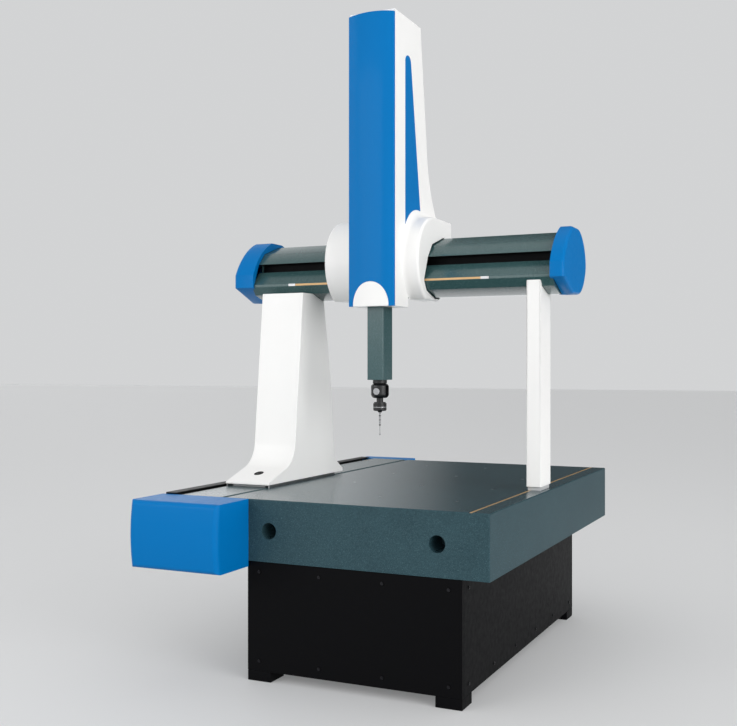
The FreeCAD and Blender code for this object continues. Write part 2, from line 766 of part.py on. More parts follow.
def beam_points(clear=0):
    """The cross beam's section in depth and height, anticlockwise from its heel."""
    c = size(clear)
    return [
        (bridge_y + d.beam_heel, beam_low - c), (beam_back - d.beam_back_low, beam_low - c),
        (beam_back + c, beam_low + d.beam_back_low), (beam_back + c, beam_low + d.beam_tall + c),
        (bridge_y + d.crown_in - c, beam_low + d.crown_up + c),
        (bridge_y + d.lip_in - c, beam_low + d.groove_top),
    ], [
        (bridge_y - c, beam_low + d.belly_high), (bridge_y - c, beam_low + d.belly_low),
        (bridge_y + d.beam_knee - c, beam_low + d.beam_knee_up - c / 2)]


def cross_beam():
    item = body("cross_beam")
    section = sketch(item, "YZ", beam_x0 - d.beam_tail)
    upper, lower = beam_points()
    groove = [
        (bridge_y + d.groove_in, beam_low + d.groove_top), (bridge_y + d.groove_in, beam_low + d.face_top),
        (bridge_y + d.face_in, beam_low + d.face_top)]
    outline(section, upper + groove + lower)
    circle(section, beam_back - d.core_back, beam_low + d.core_up, d.core_radius)
    pad(item, section, beam_x1 - beam_x0 + 2 * d.beam_tail)


def drive_leg():
    """The wide leg: a tapering column that flares into a long foot over the guide."""
    item = body("drive_leg")
    side = sketch(item, "YZ", leg_left)
    knee = (bridge_y + d.beam_knee, beam_low + d.beam_knee_up)
    heel = (bridge_y + d.beam_heel, beam_low)
    back_top = (bridge_y + d.leg_back_top, beam_low)
    front_corner = (bridge_y - d.leg_foot, leg_low + d.toe_rise)
    back_corner = (bridge_y + d.leg_heel - d.heel_in, leg_low + d.heel_rise)
    outline(side, [
        (bridge_y - d.leg_toe, leg_low), (bridge_y + d.leg_heel, leg_low),
        (bridge_y + d.leg_heel, leg_low + d.heel_thick), back_corner,
        (bridge_y + d.leg_back, leg_low + d.leg_back_up), back_top, heel, knee,
        (bridge_y - d.leg_top, knee[1] - 2), front_corner, (bridge_y - d.leg_toe, leg_low + d.toe_thick)])
    pad(item, side, d.leg_wide)
    dress(item, "Fillet", lambda shape: straight_edges(shape, "x", [front_corner]), d.flare_front)
    dress(item, "Fillet", lambda shape: straight_edges(shape, "x", [back_corner]), d.flare_back)
    core = sketch(item, "XY", leg_low)
    mid = (leg_left + leg_right) / 2
    core_y = bridge_y - d.leg_top + 30
    rectangle(core, mid - d.leg_core_wide / 2, core_y, mid + d.leg_core_wide / 2, core_y + d.leg_core_deep)
    pocket(item, core, d.leg_core_tall, reverse=True)
    access = sketch(item, "XY", leg_low)
    circle(access, mid, bridge_y - d.leg_toe + d.access_in, d.access_radius)
    pocket(item, access, d.toe_rise, reverse=True)


def leg_pads():
    """Air bearing pads under and beside the drive leg, which grip the guide rail."""
    pads = []
    y0, y1 = bridge_y - d.leg_toe + 30, bridge_y + d.leg_heel - 30
    for number, y in enumerate((y0, y1 - 150)):
        pads.append(box(f"top_pad_{number}", (rail_left + 20, y, granite_top + d.air_gap),
                        (d.rail_wide - 40, 150, d.pad_thick)))
        for name, x in (("inner", rail_right + d.air_gap), ("outer", rail_left - d.air_gap - d.side_pad)):
            pads.append(box(f"{name}_pad_{number}", (x, y, granite_top - d.skirt_reach + 20),
                            (d.side_pad, 120, 60)))
    front = bridge_y + d.post_front
    post_low = granite_top + d.air_gap
    pads.append(box_between("post_pad", (post_left + 4, front + 12, post_low),
                            (post_right - 4, front + d.post_deep - 12, post_low + d.post_pad)))
    group("bridge_air_pads", pads)


def leg_skirts():
    """Plates that reach down both sides of the rail and carry the side pads."""
    y0 = bridge_y - d.leg_toe + 20
    inner = box("inner_skirt", (rail_right + d.air_gap + d.side_pad, y0, granite_top - d.skirt_reach),
                (d.skirt_thick, d.skirt_long, leg_low - granite_top + d.skirt_reach))
    outer_x = rail_left - d.air_gap - d.side_pad - d.skirt_thick
    outer = box("outer_skirt", (outer_x, y0, granite_top - d.skirt_reach),
                (d.skirt_thick, d.skirt_long, leg_low - granite_top + d.skirt_reach))
    flange = box("outer_flange", (outer_x, y0 + d.skirt_setback, leg_low - 1),
                 (d.skirt_thick, d.skirt_long - d.skirt_setback, 31))
    belt_top = y_belt_z + d.pulley_radius + d.belt_gap + d.belt_thick + 0.3
    clamp = box_between("belt_clamp", (y_belt_x - d.belt_wide / 2, bridge_y - 40, belt_top),
                        (outer_x + 1, bridge_y + 40, belt_top + 14))
    low = granite_top - d.skirt_reach
    reader = box_between("y_reader", (outer_x, bridge_y - 30, rail_low + 24),
                         (rail_left - 2, bridge_y + 30, low))
    group("leg_skirts", [inner, fuse("outer_skirt_solid", outer, flange, clamp), reader])


def support_leg():
    """The slim leg: a plain post whose top is cut to the beam's underside."""
    item = body("support_leg")
    side = sketch(item, "YZ", post_left)
    knee = (bridge_y + d.beam_knee, beam_low + d.beam_knee_up)
    belly = (bridge_y, beam_low + d.belly_low)
    front = bridge_y + d.post_front
    back = front + d.post_deep
    low = granite_top + d.air_gap + d.post_pad
    outline(side, [
        (front, low), (back, low), (back, beam_low), (bridge_y + d.beam_heel, beam_low), knee,
        (front, line_height(belly, knee, front))])
    pad(item, side, d.post_wide)
    dress(item, "Fillet", lambda shape: straight_edges(
        shape, "z", [(x, y) for x in (post_left, post_right) for y in (front, back)]), d.post_round)


def cap_points(inset=0):
    """Section of an end cap: it follows the beam's front and bulges at the back over the belt drive."""
    c = size(inset)
    top = beam_low + d.beam_tall + d.cap_top - c
    return [
        (bridge_y + d.cap_lip_in + c, beam_low + d.cap_lip_up + c / 3),
        (bridge_y + d.cap_keel_in + c / 3, beam_low - d.cap_drop + c),
        (bridge_y + d.cap_heel_in - c / 3, beam_low + d.cap_heel_up + c, d.cap_heel_bulge - c / 4),
        (bridge_y + d.cap_back_in - c, beam_low + d.cap_back_up, d.cap_back_bulge - c / 4),
        (bridge_y + d.cap_crown_back - c / 3, top),
        (bridge_y + d.cap_crown_in + c / 3, top, d.cap_crown_bulge - c / 4),
        (bridge_y - d.cap_nose + c, beam_low + d.cap_nose_high),
        (bridge_y - d.cap_nose + c, beam_low + d.cap_nose_low)]


def end_cap(item, x_in, length):
    """A hood that closes the beam's end, built towards the left from x_in."""
    section = sketch(item, "YZ", x_in)
    outline(section, cap_points())
    pad(item, section, length - d.cap_round, reverse=True)
    loft_rim(item, x_in - length, d.cap_round, cap_points)
    inside = sketch(item, "YZ", x_in - d.cap_wall)
    outline(inside, cap_points(d.cap_thick))
    pocket(item, inside, length - d.cap_wall - d.cap_thick)
    hole = sketch(item, "YZ", x_in)
    upper, lower = beam_points(d.cap_gap)
    outline(hole, upper + lower)
    pocket(item, hole, d.beam_tail + d.cap_gap + 1)
    belt = sketch(item, "YZ", x_in)
    y, z = beam_back + d.x_belt_back, beam_low + d.x_pulley_up
    half = d.belt_wide / 2 + 6
    rectangle(belt, y - half, z - d.x_pulley_radius - 10, y + half + 16, z + d.x_pulley_radius + 10)
    pocket(item, belt, d.cap_wall + 1)


def end_caps():
    end_cap(body("left_end_cap"), beam_x0, d.left_cap_long)
    pattern = doc.addObject("PartDesign::Body", "cap_pattern")
    end_cap(pattern, beam_x1, d.right_cap_long)
    mirrored("right_end_cap", pattern, beam_x1)


def x_drive():
    y, z = beam_back + d.x_belt_back, beam_low + d.x_pulley_up
    left_x, right_x = beam_x0 - 60, beam_x1 + 30
    belt_loop("x_belt", (left_x, z), (right_x, z), d.x_pulley_radius, y, "XZ", "first")
    pulley_y("x_drive_pulley", (left_x, y, z), d.x_pulley_radius)
    pulley_y("x_idler_pulley", (right_x, y, z), d.x_pulley_radius)
    reach = d.belt_wide / 2 + 3.5
    for label, x, inner_x, motor in (
            ("x_motor", left_x, beam_x0 + 60, True), ("x_idler_bracket", right_x, beam_x1 - 60, False)):
        x_low, x_high = (x - 34, inner_x) if motor else (inner_x, x + 28)
        plate = box_between(f"{label}_plate", (x_low, y + reach, z - 28),
                            (x_high, y + reach + d.plate_thick, z + 28))
        foot_x = inner_x - 30 if motor else inner_x
        foot = box_between(f"{label}_foot", (foot_x, beam_back, z - 28 - 12),
                           (foot_x + 30, y + reach + d.plate_thick, z - 28))
        foot_top = box_between(f"{label}_foot_top", (foot_x, beam_back, z + 28),
                               (foot_x + 30, y + reach + d.plate_thick, z + 40))
        shaft = rod(f"{label}_shaft", (x, y - reach + 1, z), d.shaft_radius, 2 * reach, "y")
        pieces = [plate, foot, foot_top, shaft]
        if motor:
            pieces.append(rod("x_motor_case", (x, y + reach + d.plate_thick, z), d.motor_radius - 6,
                              d.x_motor_long, "y"))
        group(label, [fuse(f"{label}_solid", *pieces)])


def pulley_y(label, centre, radius):
    """A flanged pulley whose axis runs along Y."""
    item = body(label)
    half = d.belt_wide / 2 + 1
    x, y, z = centre
    profile = sketch(item, "XY", z, (x, y))
    rim = radius + d.pulley_rim
    bore = d.shaft_radius + d.run_gap
    outline(profile, [
        (bore, -half - 2), (rim, -half - 2), (rim, -half), (radius, -half), (radius, half), (rim, half),
        (rim, half + 2), (bore, half + 2)])
    revolve(item, profile)


# carriage

def sleeve_keel():
    """The slope behind the beam, from the sleeve's floor up to its back."""
    low = beam_low - d.sleeve_low
    return (beam_back - d.beam_back_low, low), (beam_back + d.sleeve_back, low + d.sleeve_rise)


def sleeve_points(grow=0):
    """Section of a carriage sleeve: flat top and back, one bulging arc round the beam's front."""
    g = size(grow)
    trim = g if g.value < 0 else size(0)
    back = beam_back + d.sleeve_back + trim
    top, low = beam_low + d.sleeve_high + g, beam_low - d.sleeve_low - trim
    brow, chin = bridge_y + d.sleeve_top_in, bridge_y + d.sleeve_front - g / 2
    keel, heel = sleeve_keel()
    return [
        (keel[0] + trim * 0.276, low), (back, heel[1] - trim * 0.567), (back, top),
        (brow, top, smooth_bulge(brow - chin, top - low)), (chin, low)]


def sleeve(item, x_column, length):
    """A hood round the beam beside the column, built towards the left from x_column, flared at its root."""
    flare = d.sleeve_flare
    loft = item.newObject("PartDesign::AdditiveLoft", f"{item.Name}_flare")
    rings = []
    for along, grow in ((0, 1), (0.15, 0.473), (0.4, 0.2), (0.7, 0.046), (1, 0)):
        ring = sketch(item, "YZ", x_column - flare * along)
        outline(ring, sleeve_points(flare * grow))
        rings.append(ring)
    loft.Profile = rings[0]
    loft.Sections = rings[1:]
    tube = sketch(item, "YZ", x_column - flare)
    outline(tube, sleeve_points())
    pad(item, tube, length - flare, reverse=True)
    round_rim(item, x_column - length, d.sleeve_round)
    inside = sketch(item, "YZ", x_column)
    outline(inside, sleeve_points(-d.sleeve_round))
    pocket(item, inside, length - d.sleeve_wall)
    hole = sketch(item, "YZ", x_column)
    upper, lower = beam_points(d.sleeve_clear)
    outline(hole, upper + lower)
    pocket(item, hole, length + 1)
    belt = sketch(item, "YZ", x_column)
    y, z = beam_back + d.x_belt_back, beam_low + d.x_pulley_up
    half = d.belt_wide / 2 + 6
    rectangle(belt, beam_back, z - d.x_pulley_radius - 10, y + half, z + d.x_pulley_radius + 10)
    pocket(item, belt, length + 1)


def back_panel(item):
    """Wall and floor behind the beam that join the two sleeves under the column's tail."""
    wall = d.sleeve_wall
    keel, heel = sleeve_keel()
    back, rise = heel
    start = beam_back + d.frame_clear
    start_low = line_height(keel, heel, start)
    high = beam_low + d.sleeve_high - d.panel_drop
    section = sketch(item, "YZ", column_x0)
    outline(section, [
        (start, start_low), (back, rise), (back, high), (back - wall, high),
        (back - wall, rise + wall * 0.567), (start, start_low + wall * 1.166)])
    pad(item, section, 2 * d.column_half - 0.3)


def sleeves():
    left = body("left_sleeve")
    sleeve(left, column_x0, d.sleeve_left)
    back_panel(left)
    pattern = doc.addObject("PartDesign::Body", "sleeve_pattern")
    sleeve(pattern, column_x1, d.sleeve_right)
    mirrored("right_sleeve", pattern, column_x1)


def face_line():
    return (bridge_y, beam_low + d.belly_high), (bridge_y + d.face_in, beam_low + d.face_top)


def crown_line():
    return (bridge_y + d.crown_in, beam_low + d.crown_up), (beam_back, beam_low + d.beam_tall)


def carriage_frame():
    """The stiff saddle that straddles the beam inside the sleeves."""
    item = body("carriage_frame")
    section = sketch(item, "YZ", mid_x - d.frame_left)
    front_in = bridge_y + d.lip_in - d.frame_clear
    front_out = tube_y1
    top_in = beam_low + d.beam_tall + d.frame_clear
    back_in = beam_back + d.frame_clear
    start, end = face_line()
    lift = 17
    outline(section, [
        (front_out, line_height(start, end, front_out) + lift),
        (front_in, line_height(start, end, front_in) + lift), (front_in, top_in), (back_in, top_in),
        (back_in, top_in - 60), (back_in + 14, top_in - 60), (back_in + 14, top_in + d.frame_top),
        (front_out + 55, top_in + d.frame_top), (front_out, top_in - 34)])
    pad(item, section, d.frame_left + d.frame_right)
    lug = sketch(item, "YZ", mid_x - 30)
    belt_top = beam_low + d.x_pulley_up + d.x_pulley_radius + d.belt_gap + d.belt_thick + 0.3
    rectangle(lug, back_in, belt_top, back_in + 14, top_in - 60)
    pad(item, lug, 60)


def carriage_pads():
    """Air bearing pads on the beam's sloping face and crown."""
    pads = []
    for side, x in (("left", mid_x - d.frame_left), ("right", mid_x + d.frame_right - d.x_pad_long)):
        for name, line, y0, y1, top in (
                ("face", face_line(), bridge_y + 8, bridge_y + d.face_in - 8, None),
                ("crown", crown_line(), bridge_y + d.crown_in + 12, beam_back - 12,
                 beam_low + d.beam_tall + d.frame_clear)):
            low0 = line_height(*line, y0) + d.air_gap
            low1 = line_height(*line, y1) + d.air_gap
            high0 = low0 - d.air_gap + 17 if top is None else top
            high1 = low1 - d.air_gap + 17 if top is None else top
            section = [(y0, low0), (y1, low1), (y1, high1), (y0, high0)]
            pads.append(slab(f"{name}_pad_{side}", "YZ", x, section, d.x_pad_long))
    group("carriage_air_pads", pads)


# column

def column_side_points(inset=0):
    """Side view of the column: straight front, raked back, tail swept out over the carriage."""
    c = size(inset)
    front = column_y0 + d.front_skin
    ledge = beam_low + d.beam_tall + d.frame_clear + d.frame_top
    tail = bridge_y + d.column_tail
    return [
        (front, column_z0 + c), (bridge_y - 12 - c, column_z0 + c), (bridge_y - 12 - c, ledge + c),
        (beam_back + 60, ledge + c), (tail - c, beam_low + d.sleeve_high + c),
        (tail - c, column_z0 + d.column_tail_up, -d.tail_sag),
        (bridge_y + d.column_back_mid - c, column_z0 + d.column_mid_up),
        (bridge_y + d.column_back_top - c, column_z1 - c), (front, column_z1 - c)]


def column_shell():
    """White cover of the column, open at the front, with a slot in its foot for the ram."""
    item = body("column_shell")
    wall = d.column_wall
    side = sketch(item, "YZ", column_x0)
    outline(side, column_side_points())
    pad(item, side, 2 * d.column_half)
    inside = sketch(item, "YZ", column_x0 + wall)
    lip = column_y0 + d.front_skin
    header_low = column_z1 - d.header_tall
    outline(inside, column_side_points(wall)[:-1] + [
        (lip + d.header, column_z1 - wall), (lip + d.header, header_low), (lip, header_low)])
    pocket(item, inside, 2 * (d.column_half - wall), reverse=True)
    slot = sketch(item, "XY", column_z0 + wall + 1)
    gap = 4
    rectangle(slot, mid_x - d.ram_wide / 2 - gap, ram_y0 - gap, mid_x + d.ram_wide / 2 + gap, ram_y1 + gap)
    pocket(item, slot, wall + 2)
    ledge = beam_low + d.beam_tall + d.frame_clear + d.frame_top
    well = sketch(item, "XY", ledge + 100)
    rectangle(well, mid_x - d.column_half + 24, bridge_y - 12 - wall - 1, mid_x + d.column_half - 24,
              bridge_y + d.column_tail - 40)
    pocket(item, well, ledge + 99 - column_z0 - wall)


def crown_plan(front, back, half, crown):
    """Plan of a plate with a crowned front."""
    return [(mid_x - half, front, crown), (mid_x + half, front), (mid_x + half, back), (mid_x - half, back)]


def nose_points(gap=0):
    """The arch at the foot of the column's front, in width and height."""
    g = size(gap)
    side_x = d.nose_half - d.nose_in - g
    return [
        (mid_x + d.nose_half - g, column_z0 - 1), (mid_x + d.nose_half - g, column_z0, d.nose_side_bulge),
        (mid_x + side_x, column_z0 + d.nose_side, d.nose_crown - g),
        (mid_x - side_x, column_z0 + d.nose_side, d.nose_side_bulge),
        (mid_x - d.nose_half + g, column_z0), (mid_x - d.nose_half + g, column_z0 - 1)]


def column_front():
    """Blue front cover with a crowned face and an arched top."""
    item = body("column_front")
    plan = sketch(item, "XY", column_z0)
    outline(plan, crown_plan(column_y0, column_y0 + d.front_skin, d.column_half, d.column_crown))
    pad(item, plan, d.column_tall)
    arch = sketch(item, "XZ", column_y0 - d.column_crown - 2)
    corner = column_z1 - d.front_drop
    outline(arch, [
        (mid_x + d.column_half, corner, d.front_arch),
        (mid_x - d.column_half, corner), (mid_x - d.column_half - 2, corner),
        (mid_x - d.column_half - 2, column_z1 + 5), (mid_x + d.column_half + 2, column_z1 + 5),
        (mid_x + d.column_half + 2, corner)])
    pocket(item, arch, d.column_crown + d.front_skin + 4, reverse=False)
    nose = sketch(item, "XZ", column_y0 - d.column_crown - 2)
    outline(nose, nose_points())
    pocket(item, nose, d.column_crown + d.front_skin + 4, reverse=False)
    dress(item, "Fillet", lambda shape: straight_edges(
        shape, "z", [(mid_x - d.column_half, column_y0), (mid_x + d.column_half, column_y0)]), 6)


def column_nose():
    item = body("column_nose")
    face = sketch(item, "XZ", column_y0 - d.column_crown)
    points = nose_points(d.nose_gap)[1:5]
    outline(face, points)
    pad(item, face, d.column_crown + d.front_skin, reverse=True)
    outside = sketch(item, "XY", column_z0 - 1)
    half = d.column_half
    ahead = column_y0 - d.column_crown - 6
    outline(outside, [
        (mid_x + half, column_y0 + 1, -d.column_crown), (mid_x - half, column_y0 + 1),
        (mid_x - half, ahead), (mid_x + half, ahead)])
    pocket(item, outside, d.nose_side + d.nose_crown + 20, reverse=True)


def column_stripes():
    """Tapering inlays on both sides of the column."""
    front = column_y0 + d.stripe_front
    shoulder = column_z0 + d.stripe_top - d.stripe_tip
    section = [
        (front, column_z0 + d.stripe_low, -d.stripe_sag),
        (front + d.stripe_low_wide, column_z0 + d.stripe_low_back),
        (front + d.stripe_top_wide, shoulder, d.stripe_tip), (front, shoulder)]
    group("column_stripes", [
        slab("stripe_left", "YZ", column_x0 - d.stripe_thick, section, d.stripe_thick),
        slab("stripe_right", "YZ", column_x1, section, d.stripe_thick)])


def guide_tube():
    """Square tube that guides the ram on its air pads."""
    outer = box_between("guide_outer", (mid_x - tube_half, tube_y0, tube_z0),
                        (mid_x + tube_half, tube_y1, tube_z1))
    wall = d.guide_wall
    inner = box_between("guide_inner", (mid_x - tube_half + wall, tube_y0 + wall, tube_z0 - 1),
                        (mid_x + tube_half - wall, tube_y1 - wall, tube_z1 + 1))
    return cut("guide_tube", outer, inner)


def ram_pads():
    pads = []
    for number, z in enumerate((tube_z0 + 20, tube_z1 - 20 - d.pad_tall)):
        for side, x in (("left", mid_x - d.ram_wide / 2 - d.air_gap - d.guide_pad),
                        ("right", mid_x + d.ram_wide / 2 + d.air_gap)):
            pads.append(box(f"ram_pad_{side}_{number}", (x, ram_mid_y - d.pad_face / 2, z),
                            (d.guide_pad, d.pad_face, d.pad_tall)))
        for side, y in (("front", ram_y0 - d.air_gap - d.guide_pad), ("back", ram_y1 + d.air_gap)):
            pads.append(box(f"ram_pad_{side}_{number}", (mid_x - d.pad_face / 2, y, z),
                            (d.pad_face, d.guide_pad, d.pad_tall)))
    group("ram_air_pads", pads)


def column_spine():
    """Ram guide with the upright behind it that carries the lift belt's upper pulley."""
    low = beam_low + d.beam_tall + d.frame_clear + d.frame_top
    half = d.spine_wide / 2
    web_low = low + d.web_rise
    webs = [box_between(f"spine_web_{name}", (mid_x + x, tube_y1, web_low),
                        (mid_x + x + d.cheek, spine_y, web_low + d.web_tall))
            for name, x in (("left", -half), ("right", half - d.cheek))]
    high = column_z0 + d.z_high_pulley + 24
    upright = box_between("spine_plate", (mid_x - half, spine_y, low),
                          (mid_x + half, spine_y + d.spine_thick, high))
    foot = box_between("spine_foot", (mid_x - half, spine_y - 20, low),
                       (mid_x + half, spine_y + 60, low + 12))
    reach = d.belt_wide / 2 + 3.5
    pieces = [guide_tube(), upright, foot] + webs
    top_z = column_z0 + d.z_high_pulley
    for name, x in (("left", mid_x - reach - d.cheek), ("right", mid_x + reach)):
        pieces.append(box_between(f"spine_cheek_{name}", (x, z_belt_y - 14, top_z - 16),
                                  (x + d.cheek, spine_y, top_z + 16)))
    pieces.append(rod("spine_shaft", (mid_x - reach - 2, z_belt_y, top_z), d.shaft_radius,
                      2 * reach + 4, "x"))
    group("column_spine", [fuse("column_spine_solid", *pieces)])


def z_drive():
    low_z, high_z = column_z0 + d.z_low_pulley, column_z0 + d.z_high_pulley
    belt_loop("z_belt", (z_belt_y, low_z), (z_belt_y, high_z), d.z_pulley_radius, mid_x, "YZ", "second")
    pulley("z_drive_pulley", (mid_x, z_belt_y, low_z), d.z_pulley_radius, "x")
    pulley("z_idler_pulley", (mid_x, z_belt_y, high_z), d.z_pulley_radius, "x")
    reach = d.belt_wide / 2 + 3.5
    plate = box_between("z_motor_plate", (mid_x + reach, tube_y1, low_z - 30),
                        (mid_x + reach + d.cheek, spine_y, low_z + 30))
    case = rod("z_motor_case", (mid_x + reach + d.cheek, z_belt_y, low_z), d.z_motor_radius,
               d.z_motor_long, "x")
    shaft = rod("z_motor_shaft", (mid_x - reach + 1, z_belt_y, low_z), d.shaft_radius, 2 * reach + 2, "x")
    group("z_motor", [fuse("z_motor_solid", plate, case, shaft)])


def counterbalance():
    x, y = mid_x - d.cylinder_side, ram_mid_y
    low = column_z0 + d.column_wall
    outer = rod("cylinder_outer", (x, y, low), d.cylinder_radius, d.cylinder_tall)
    inner = rod("cylinder_inner", (x, y, low + 10), d.cylinder_radius - d.cylinder_wall,
                d.cylinder_tall - 20)
    gland = rod("cylinder_gland", (x, y, low + d.cylinder_tall - 11), d.rod_radius + d.run_gap, 12)
    group("counterbalance_cylinder", [cut("cylinder_solid", outer, inner, gland)])


# ram and head

def ram():
    item = body("ram")
    section = sketch(item, "XY", ram_z0)
    rectangle(section, mid_x - d.ram_wide / 2, ram_y0, mid_x + d.ram_wide / 2, ram_y1)
    circle(section, mid_x, ram_mid_y, d.ram_bore)
    pad(item, section, d.ram_long)
    dress(item, "Chamfer", lambda shape: straight_edges(
        shape, "z", [(mid_x + d.ram_wide / 2 * sign, y) for sign in (-1, 1) for y in (ram_y0, ram_y1)]),
        d.ram_edge)


def ram_top_clamp():
    """Plate on top of the ram with arms to the lift belt and to the counterbalance rod."""
    plate = box_between("clamp_plate", (mid_x - d.ram_wide / 2, ram_y0, ram_z1),
                        (mid_x + d.ram_wide / 2, ram_y1, ram_z1 + d.clamp_thick))
    belt_front = z_belt_y - d.z_pulley_radius - d.belt_gap - d.belt_thick - 0.3
    arm = box_between("clamp_belt_arm", (mid_x - 20, ram_y1, ram_z1),
                      (mid_x + 20, belt_front, ram_z1 + d.clamp_thick))
    side = box_between("clamp_rod_arm", (mid_x - d.cylinder_side - 16, ram_mid_y - 16, ram_z1),
                       (mid_x - d.ram_wide / 2, ram_mid_y + 16, ram_z1 + d.clamp_thick))
    x, y = mid_x - d.cylinder_side, ram_mid_y
    stem = rod("counter_stem", (x, y, ram_z1 - d.rod_long), d.rod_radius, d.rod_long)
    piston = rod("counter_piston", (x, y, ram_z1 - d.rod_long),
                 d.cylinder_radius - d.cylinder_wall - 0.3, 16)
    group("ram_top_clamp", [fuse("ram_clamp_solid", plate, arm, side)])
    group("counterbalance_rod", [fuse("counter_rod_solid", stem, piston)])


def turned(label, points, centre=None):
    """A piece turned about the upright axis of the ram. Points are radius and height."""
    item = body(label)
    x, y = centre if centre else (mid_x, ram_mid_y)
    profile = sketch(item, "XZ", y, (x, size(0)))
    outline(profile, points)
    revolve(item, profile)
    return item


def head_mount():
    top, low = ram_z0, ram_z0 - d.mount_tall
    item = turned("head_mount", [
        (0, low), (d.mount_radius - 3, low), (d.mount_radius, low + 3), (d.mount_radius, top), (0, top)])
    return item


def head_yoke():
    """Rounded housing that turns about the ram's axis, slotted for the knuckle."""
    top = ram_z0 - d.mount_tall - 0.3
    low = head_z - d.head_low
    item = turned("head_yoke", [
        (0, low), (d.head_radius - 16, low, 5), (d.head_radius, low + 22), (d.head_radius, top - 14, 4),
        (d.head_radius - 14, top), (0, top)])
    slot = sketch(item, "XZ", ram_mid_y - d.slot_half - d.slot_gap)
    half = d.drum_radius + 1
    half_round = half * 0.29289
    outline(slot, [
        (mid_x - half, low - 1), (mid_x + d.head_radius + 1, low - 1),
        (mid_x + d.head_radius + 1, head_z + half + 2), (mid_x, head_z + half + 2),
        (mid_x, head_z + half, half_round),
        (mid_x - half, head_z)])
    pocket(item, slot, 2 * (d.slot_half + d.slot_gap))
    bore = sketch(item, "XZ", ram_mid_y - d.head_radius - 1)
    circle(bore, mid_x, head_z, d.pin_radius + d.run_gap)
    pocket(item, bore, 2 * d.head_radius + 2)
    recess = sketch(item, "XZ", ram_mid_y - d.head_radius - 1)
    circle(recess, mid_x, head_z, d.pin_head + 0.4)
    pocket(item, recess, d.pin_head_thick + 5)


def head_knuckle():
    """Drum on the tilt axis with a stub and a collar for the probe."""
    item = body("head_knuckle")
    drum = sketch(item, "XZ", ram_mid_y - d.slot_half)
    circle(drum, mid_x, head_z, d.drum_radius)
    pad(item, drum, 2 * d.slot_half, reverse=True)
    stub = sketch(item, "XY", head_z)
    circle(stub, mid_x, ram_mid_y, d.stub_radius)
    pad(item, stub, d.collar_drop, reverse=True)
    collar = sketch(item, "XY", head_z - d.collar_drop)
    circle(collar, mid_x, ram_mid_y, d.collar_radius)
    pad(item, collar, d.collar_thick, reverse=True)
    bore = sketch(item, "XZ", ram_mid_y - d.slot_half - 1)
    circle(bore, mid_x, head_z, d.pin_radius)
    pocket(item, bore, 2 * d.slot_half + 2)


def knuckle_pin():
    """Tilt pin, fixed in the drum, with a flat round head in the yoke's cheek."""
    y = ram_mid_y - d.head_radius + 2
    head = rod("pin_head_disc", (mid_x, y, head_z), d.pin_head, d.pin_head_thick - 0.5, "y")
    stem = rod("pin_stem", (mid_x, y, head_z), d.pin_radius, 2 * d.head_radius - 8, "y")
    group("knuckle_pin", [fuse("knuckle_pin_solid", head, stem)])


def touch_probe():
    top = head_z - d.collar_drop - d.collar_thick
    low = top - d.probe_tall
    turned("touch_probe", [
        (0, low - d.probe_nose), (d.probe_neck, low - d.probe_nose), (d.probe_neck + 2, low),
        (d.probe_radius - d.probe_round, low, 1.8), (d.probe_radius, low + d.probe_round),
        (d.probe_radius, top), (0, top)])


def stylus():
    nose = head_z - d.collar_drop - d.collar_thick - d.probe_tall - d.probe_nose
    top = nose - d.stylus_gap - d.stylus_pivot
    step = nose - d.stylus_bar_long
    tip = step - d.stylus_long
    item = turned("stylus", [
        (0, tip), (d.stylus_stem, tip), (d.stylus_stem, step), (d.stylus_bar, step + 4),
        (d.stylus_bar, top), (0, top)])
    for height, reach in ((top, d.stylus_pivot), (tip - d.ball_radius * 0.8, d.ball_radius)):
        ball = sketch(item, "XZ", ram_mid_y, (mid_x, height))
        outline(ball, [(0, -reach, reach), (0, reach)])
        revolve(item, ball)


def build():
    levelling_feet()
    stand_frame()
    stand_panels()
    support_pads()
    granite_table()
    threaded_inserts()
    track_strip()
    guide_rail()
    rail_brackets()
    belt_guard()
    scale_tape("y_scale_tape", (rail_left - d.scale_thick, -half_long + 20, rail_low + 35),
               (d.scale_thick, d.granite_long - 40, d.scale_wide))
    y_drive()
    end_covers()
    drive_leg()
    leg_pads()
    leg_skirts()
    support_leg()
    cross_beam()
    scale_tape("x_scale_tape", (-d.x_scale_left, bridge_y - d.scale_thick, beam_low + d.belly_low + 2),
               (d.x_scale_long, d.scale_thick, d.scale_wide))
    end_caps()
    x_drive()
    sleeves()
    carriage_frame()
    carriage_pads()
    column_shell()
    column_front()
    column_nose()
    column_stripes()
    ram_pads()
    column_spine()
    z_drive()
    counterbalance()
    ram()
    ram_top_clamp()
    head_mount()
    head_yoke()
    head_knuckle()
    knuckle_pin()
    touch_probe()
    stylus()


def check():
    doc.recompute()
    for item in doc.Objects:
        if "Invalid" in item.State or "Error" in item.State:
            raise ValueError(f"{item.Label} failed: {item.State}")
    for node in NODES:
        if node.Shape.isNull() or not node.Shape.isValid() or not node.Shape.Solids:
            raise ValueError(f"{node.Label} is not a valid solid")


def write():
    os.makedirs("parts", exist_ok=True)
    for node in NODES:
        node.Shape.exportStep(f"parts/{node.Label}.step")


build()
check()
write()
for node in NODES:
    print(f"{node.Label}: {len(node.Shape.Solids)} solids, {node.Shape.Volume / 1e6:.3f} litres")
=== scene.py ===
import json
import math

import bmesh
import bpy
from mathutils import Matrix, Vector
from mathutils.bvhtree import BVHTree

